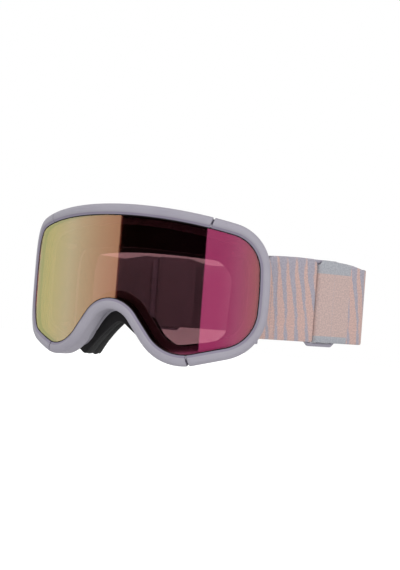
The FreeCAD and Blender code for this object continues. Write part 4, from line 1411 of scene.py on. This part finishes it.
def stretch(plan: np.ndarray) -> np.ndarray:
    """Height that the webbing gains at its top edge where it is pulled flat, in millimetres."""
    right = (plan - RIGHT_ANCHOR.centre) @ np.array(RIGHT_ANCHOR.heading)
    gain = np.interp(right, (3.0, 5.0, 12.0, 22.0, 32.0, 42.0, 53.0, 58.0, 65.0),
                     (0.0, 2.4, 2.8, 3.1, 3.0, 2.9, 2.1, 1.5, 0.0))
    left = np.linalg.norm(plan - LEFT_SLIDER.centre, axis=1)
    far = np.clip(1 - (left - 15.0) / 12.0, 0, 1) * 3.0
    return np.where(plan[:, 0] > 40.0, gain, far)


# ---------------------------------------------------------------- studio


@dataclass(frozen=True)
class FloorFinish(Finish):
    """Pale floor that glows a little where it is seen."""

    def draw(self, maker: NodeMaker, spot: Socket) -> Socket:
        """Diffuse surface and a glow that lights nothing else."""
        diffuse = maker.add("ShaderNodeBsdfDiffuse", {"Color": (0.92, 0.92, 0.92, 1)}).outputs[0]
        dark, glow = (maker.light("ShaderNodeEmission", strength) for strength in (0.0, 0.7))
        extra = maker.blend(maker.seen(maker.add("ShaderNodeLightPath")), dark, glow)
        return maker.add("ShaderNodeAddShader", {0: diffuse, 1: extra}).outputs[0]


@dataclass
class Studio:
    """Camera, lamps, world and floor."""

    azimuth: float = 30.46
    elevation: float = -1.0
    roll: float = 4.42
    focal: float = 73.7
    offset: tuple[float, float, float] = (-45.23, -1.50, 598.0)
    floor_height: float = -0.16

    def build(self) -> None:
        """Set the scene up."""
        scene = bpy.context.scene
        scene.view_settings.view_transform = "Standard"
        self.camera()
        self.lamps()
        self.world()
        self.floor()

    def camera(self) -> None:
        """Camera at the viewing angle, turned a little about its own axis."""
        az, el, roll = (math.radians(v) for v in (self.azimuth, self.elevation, self.roll))
        back = Vector((math.sin(az) * math.cos(el), -math.cos(az) * math.cos(el), math.sin(el)))
        right = Vector((0, 0, 1)).cross(back).normalized()
        down = right.cross(back)
        side = right * math.cos(roll) - down * math.sin(roll)
        low = right * math.sin(roll) + down * math.cos(roll)
        centre = -(side * self.offset[0] + low * self.offset[1] - back * self.offset[2])
        data = bpy.data.cameras.new("camera")
        data.lens = self.focal
        data.sensor_width = 36.0
        data.clip_start, data.clip_end = 0.01, 20.0
        camera = linked("camera", data)
        turn = Matrix((side, -low, back)).transposed().to_4x4()
        camera.matrix_world = Matrix.Translation(Vector(put_in_frame(np.array(centre)))) @ turn
        bpy.context.scene.camera = camera

    def lamps(self) -> None:
        """Two wide soft lamps above, one a little stronger."""
        for name, spot, power in (("key", (-0.35, -0.85, 0.7), 3.0),
                                  ("fill", (0.8, -0.6, 0.5), 3.6)):
            data = bpy.data.lights.new(name, "AREA")
            data.size, data.energy = 0.9, power
            lamp = linked(name, data)
            lamp.location = spot
            lamp.rotation_euler = Vector(spot).to_track_quat("Z", "Y").to_euler()
            lamp.visible_camera = lamp.visible_glossy = False

    def world(self) -> None:
        """Plain light all round, and bright panels left and right that only gloss shows."""
        world = bpy.data.worlds.new("studio")
        bpy.context.scene.world = world
        world.use_nodes = True
        maker = NodeMaker(world.node_tree)
        place_in = maker.add("ShaderNodeTexCoord").outputs["Generated"]
        across, ahead, up = maker.add("ShaderNodeSeparateXYZ", {0: place_in}).outputs
        azimuth = maker.math("ARCTAN2", across, maker.math("MULTIPLY", ahead, -1.0))
        left = maker.fall(azimuth, *map(math.radians, (-31.9, -31.1)))
        right = maker.smooth(azimuth, *map(math.radians, (24.7, 25.5)))
        turned = maker.math("ABSOLUTE", azimuth)
        behind = maker.math("MULTIPLY", maker.smooth(turned, *map(math.radians, (126, 132))), 0.4)
        panel = maker.math("SUBTRACT", maker.math("MAXIMUM", left, right), behind)
        above = maker.smooth(maker.math("ABSOLUTE", up), 0.55, 0.8)
        studio = maker.math("MAXIMUM", maker.math("MAXIMUM", panel, 0.004),
                            maker.math("MULTIPLY", above, 0.6))
        side_light = maker.times_plus(across, 0.27, maker.times_plus(up, -0.12, 0.70))
        rays = maker.add("ShaderNodeLightPath")
        plain, glossy, white = (maker.light("ShaderNodeBackground", strength)
                                for strength in (side_light, studio, 1.0))
        first = maker.blend(rays.outputs["Is Glossy Ray"], plain, glossy)
        maker.add("ShaderNodeOutputWorld", {0: maker.blend(maker.seen(rays), first, white)})

    def floor(self) -> None:
        """Pale floor well below the goggles, which hang where a head would hold them."""
        mesh = bpy.data.meshes.new("floor")
        size, level = 3.0, self.floor_height
        corners = [(-size, -size, level), (size, -size, level),
                   (size, size, level), (-size, size, level)]
        mesh.from_pydata(corners, [], [(0, 1, 2, 3)])
        floor = with_materials(linked("floor", mesh), FloorFinish("pale_floor").material())


def dress_nodes(nodes: dict[str, bpy.types.Object], finishes: Finishes) -> None:
    """Give the CAD nodes that stay shown their materials."""
    for name, node in nodes.items():
        if node.hide_render:
            continue
        material = finishes.steel if name.startswith("anchor_bar") else finishes.vent_foam
        for slot in node.material_slots:
            slot.material = material
        LOG.info("%s keeps its shape", name)


def main() -> None:
    """Build the studio and every piece in order."""
    logging.basicConfig(level=logging.INFO, format="%(message)s")
    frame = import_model()
    for thing in list(bpy.data.objects):
        if thing.type in ("CAMERA", "LIGHT"):
            bpy.data.objects.remove(thing)
    Studio().build()
    finishes = Finishes()
    FrontFrame().build(finishes)
    LensStack().build(finishes)
    FacePad().build(finishes)
    StrapLoop().build(finishes)
    dress_nodes(frame["nodes"], finishes)


if __name__ == "__main__":
    main()
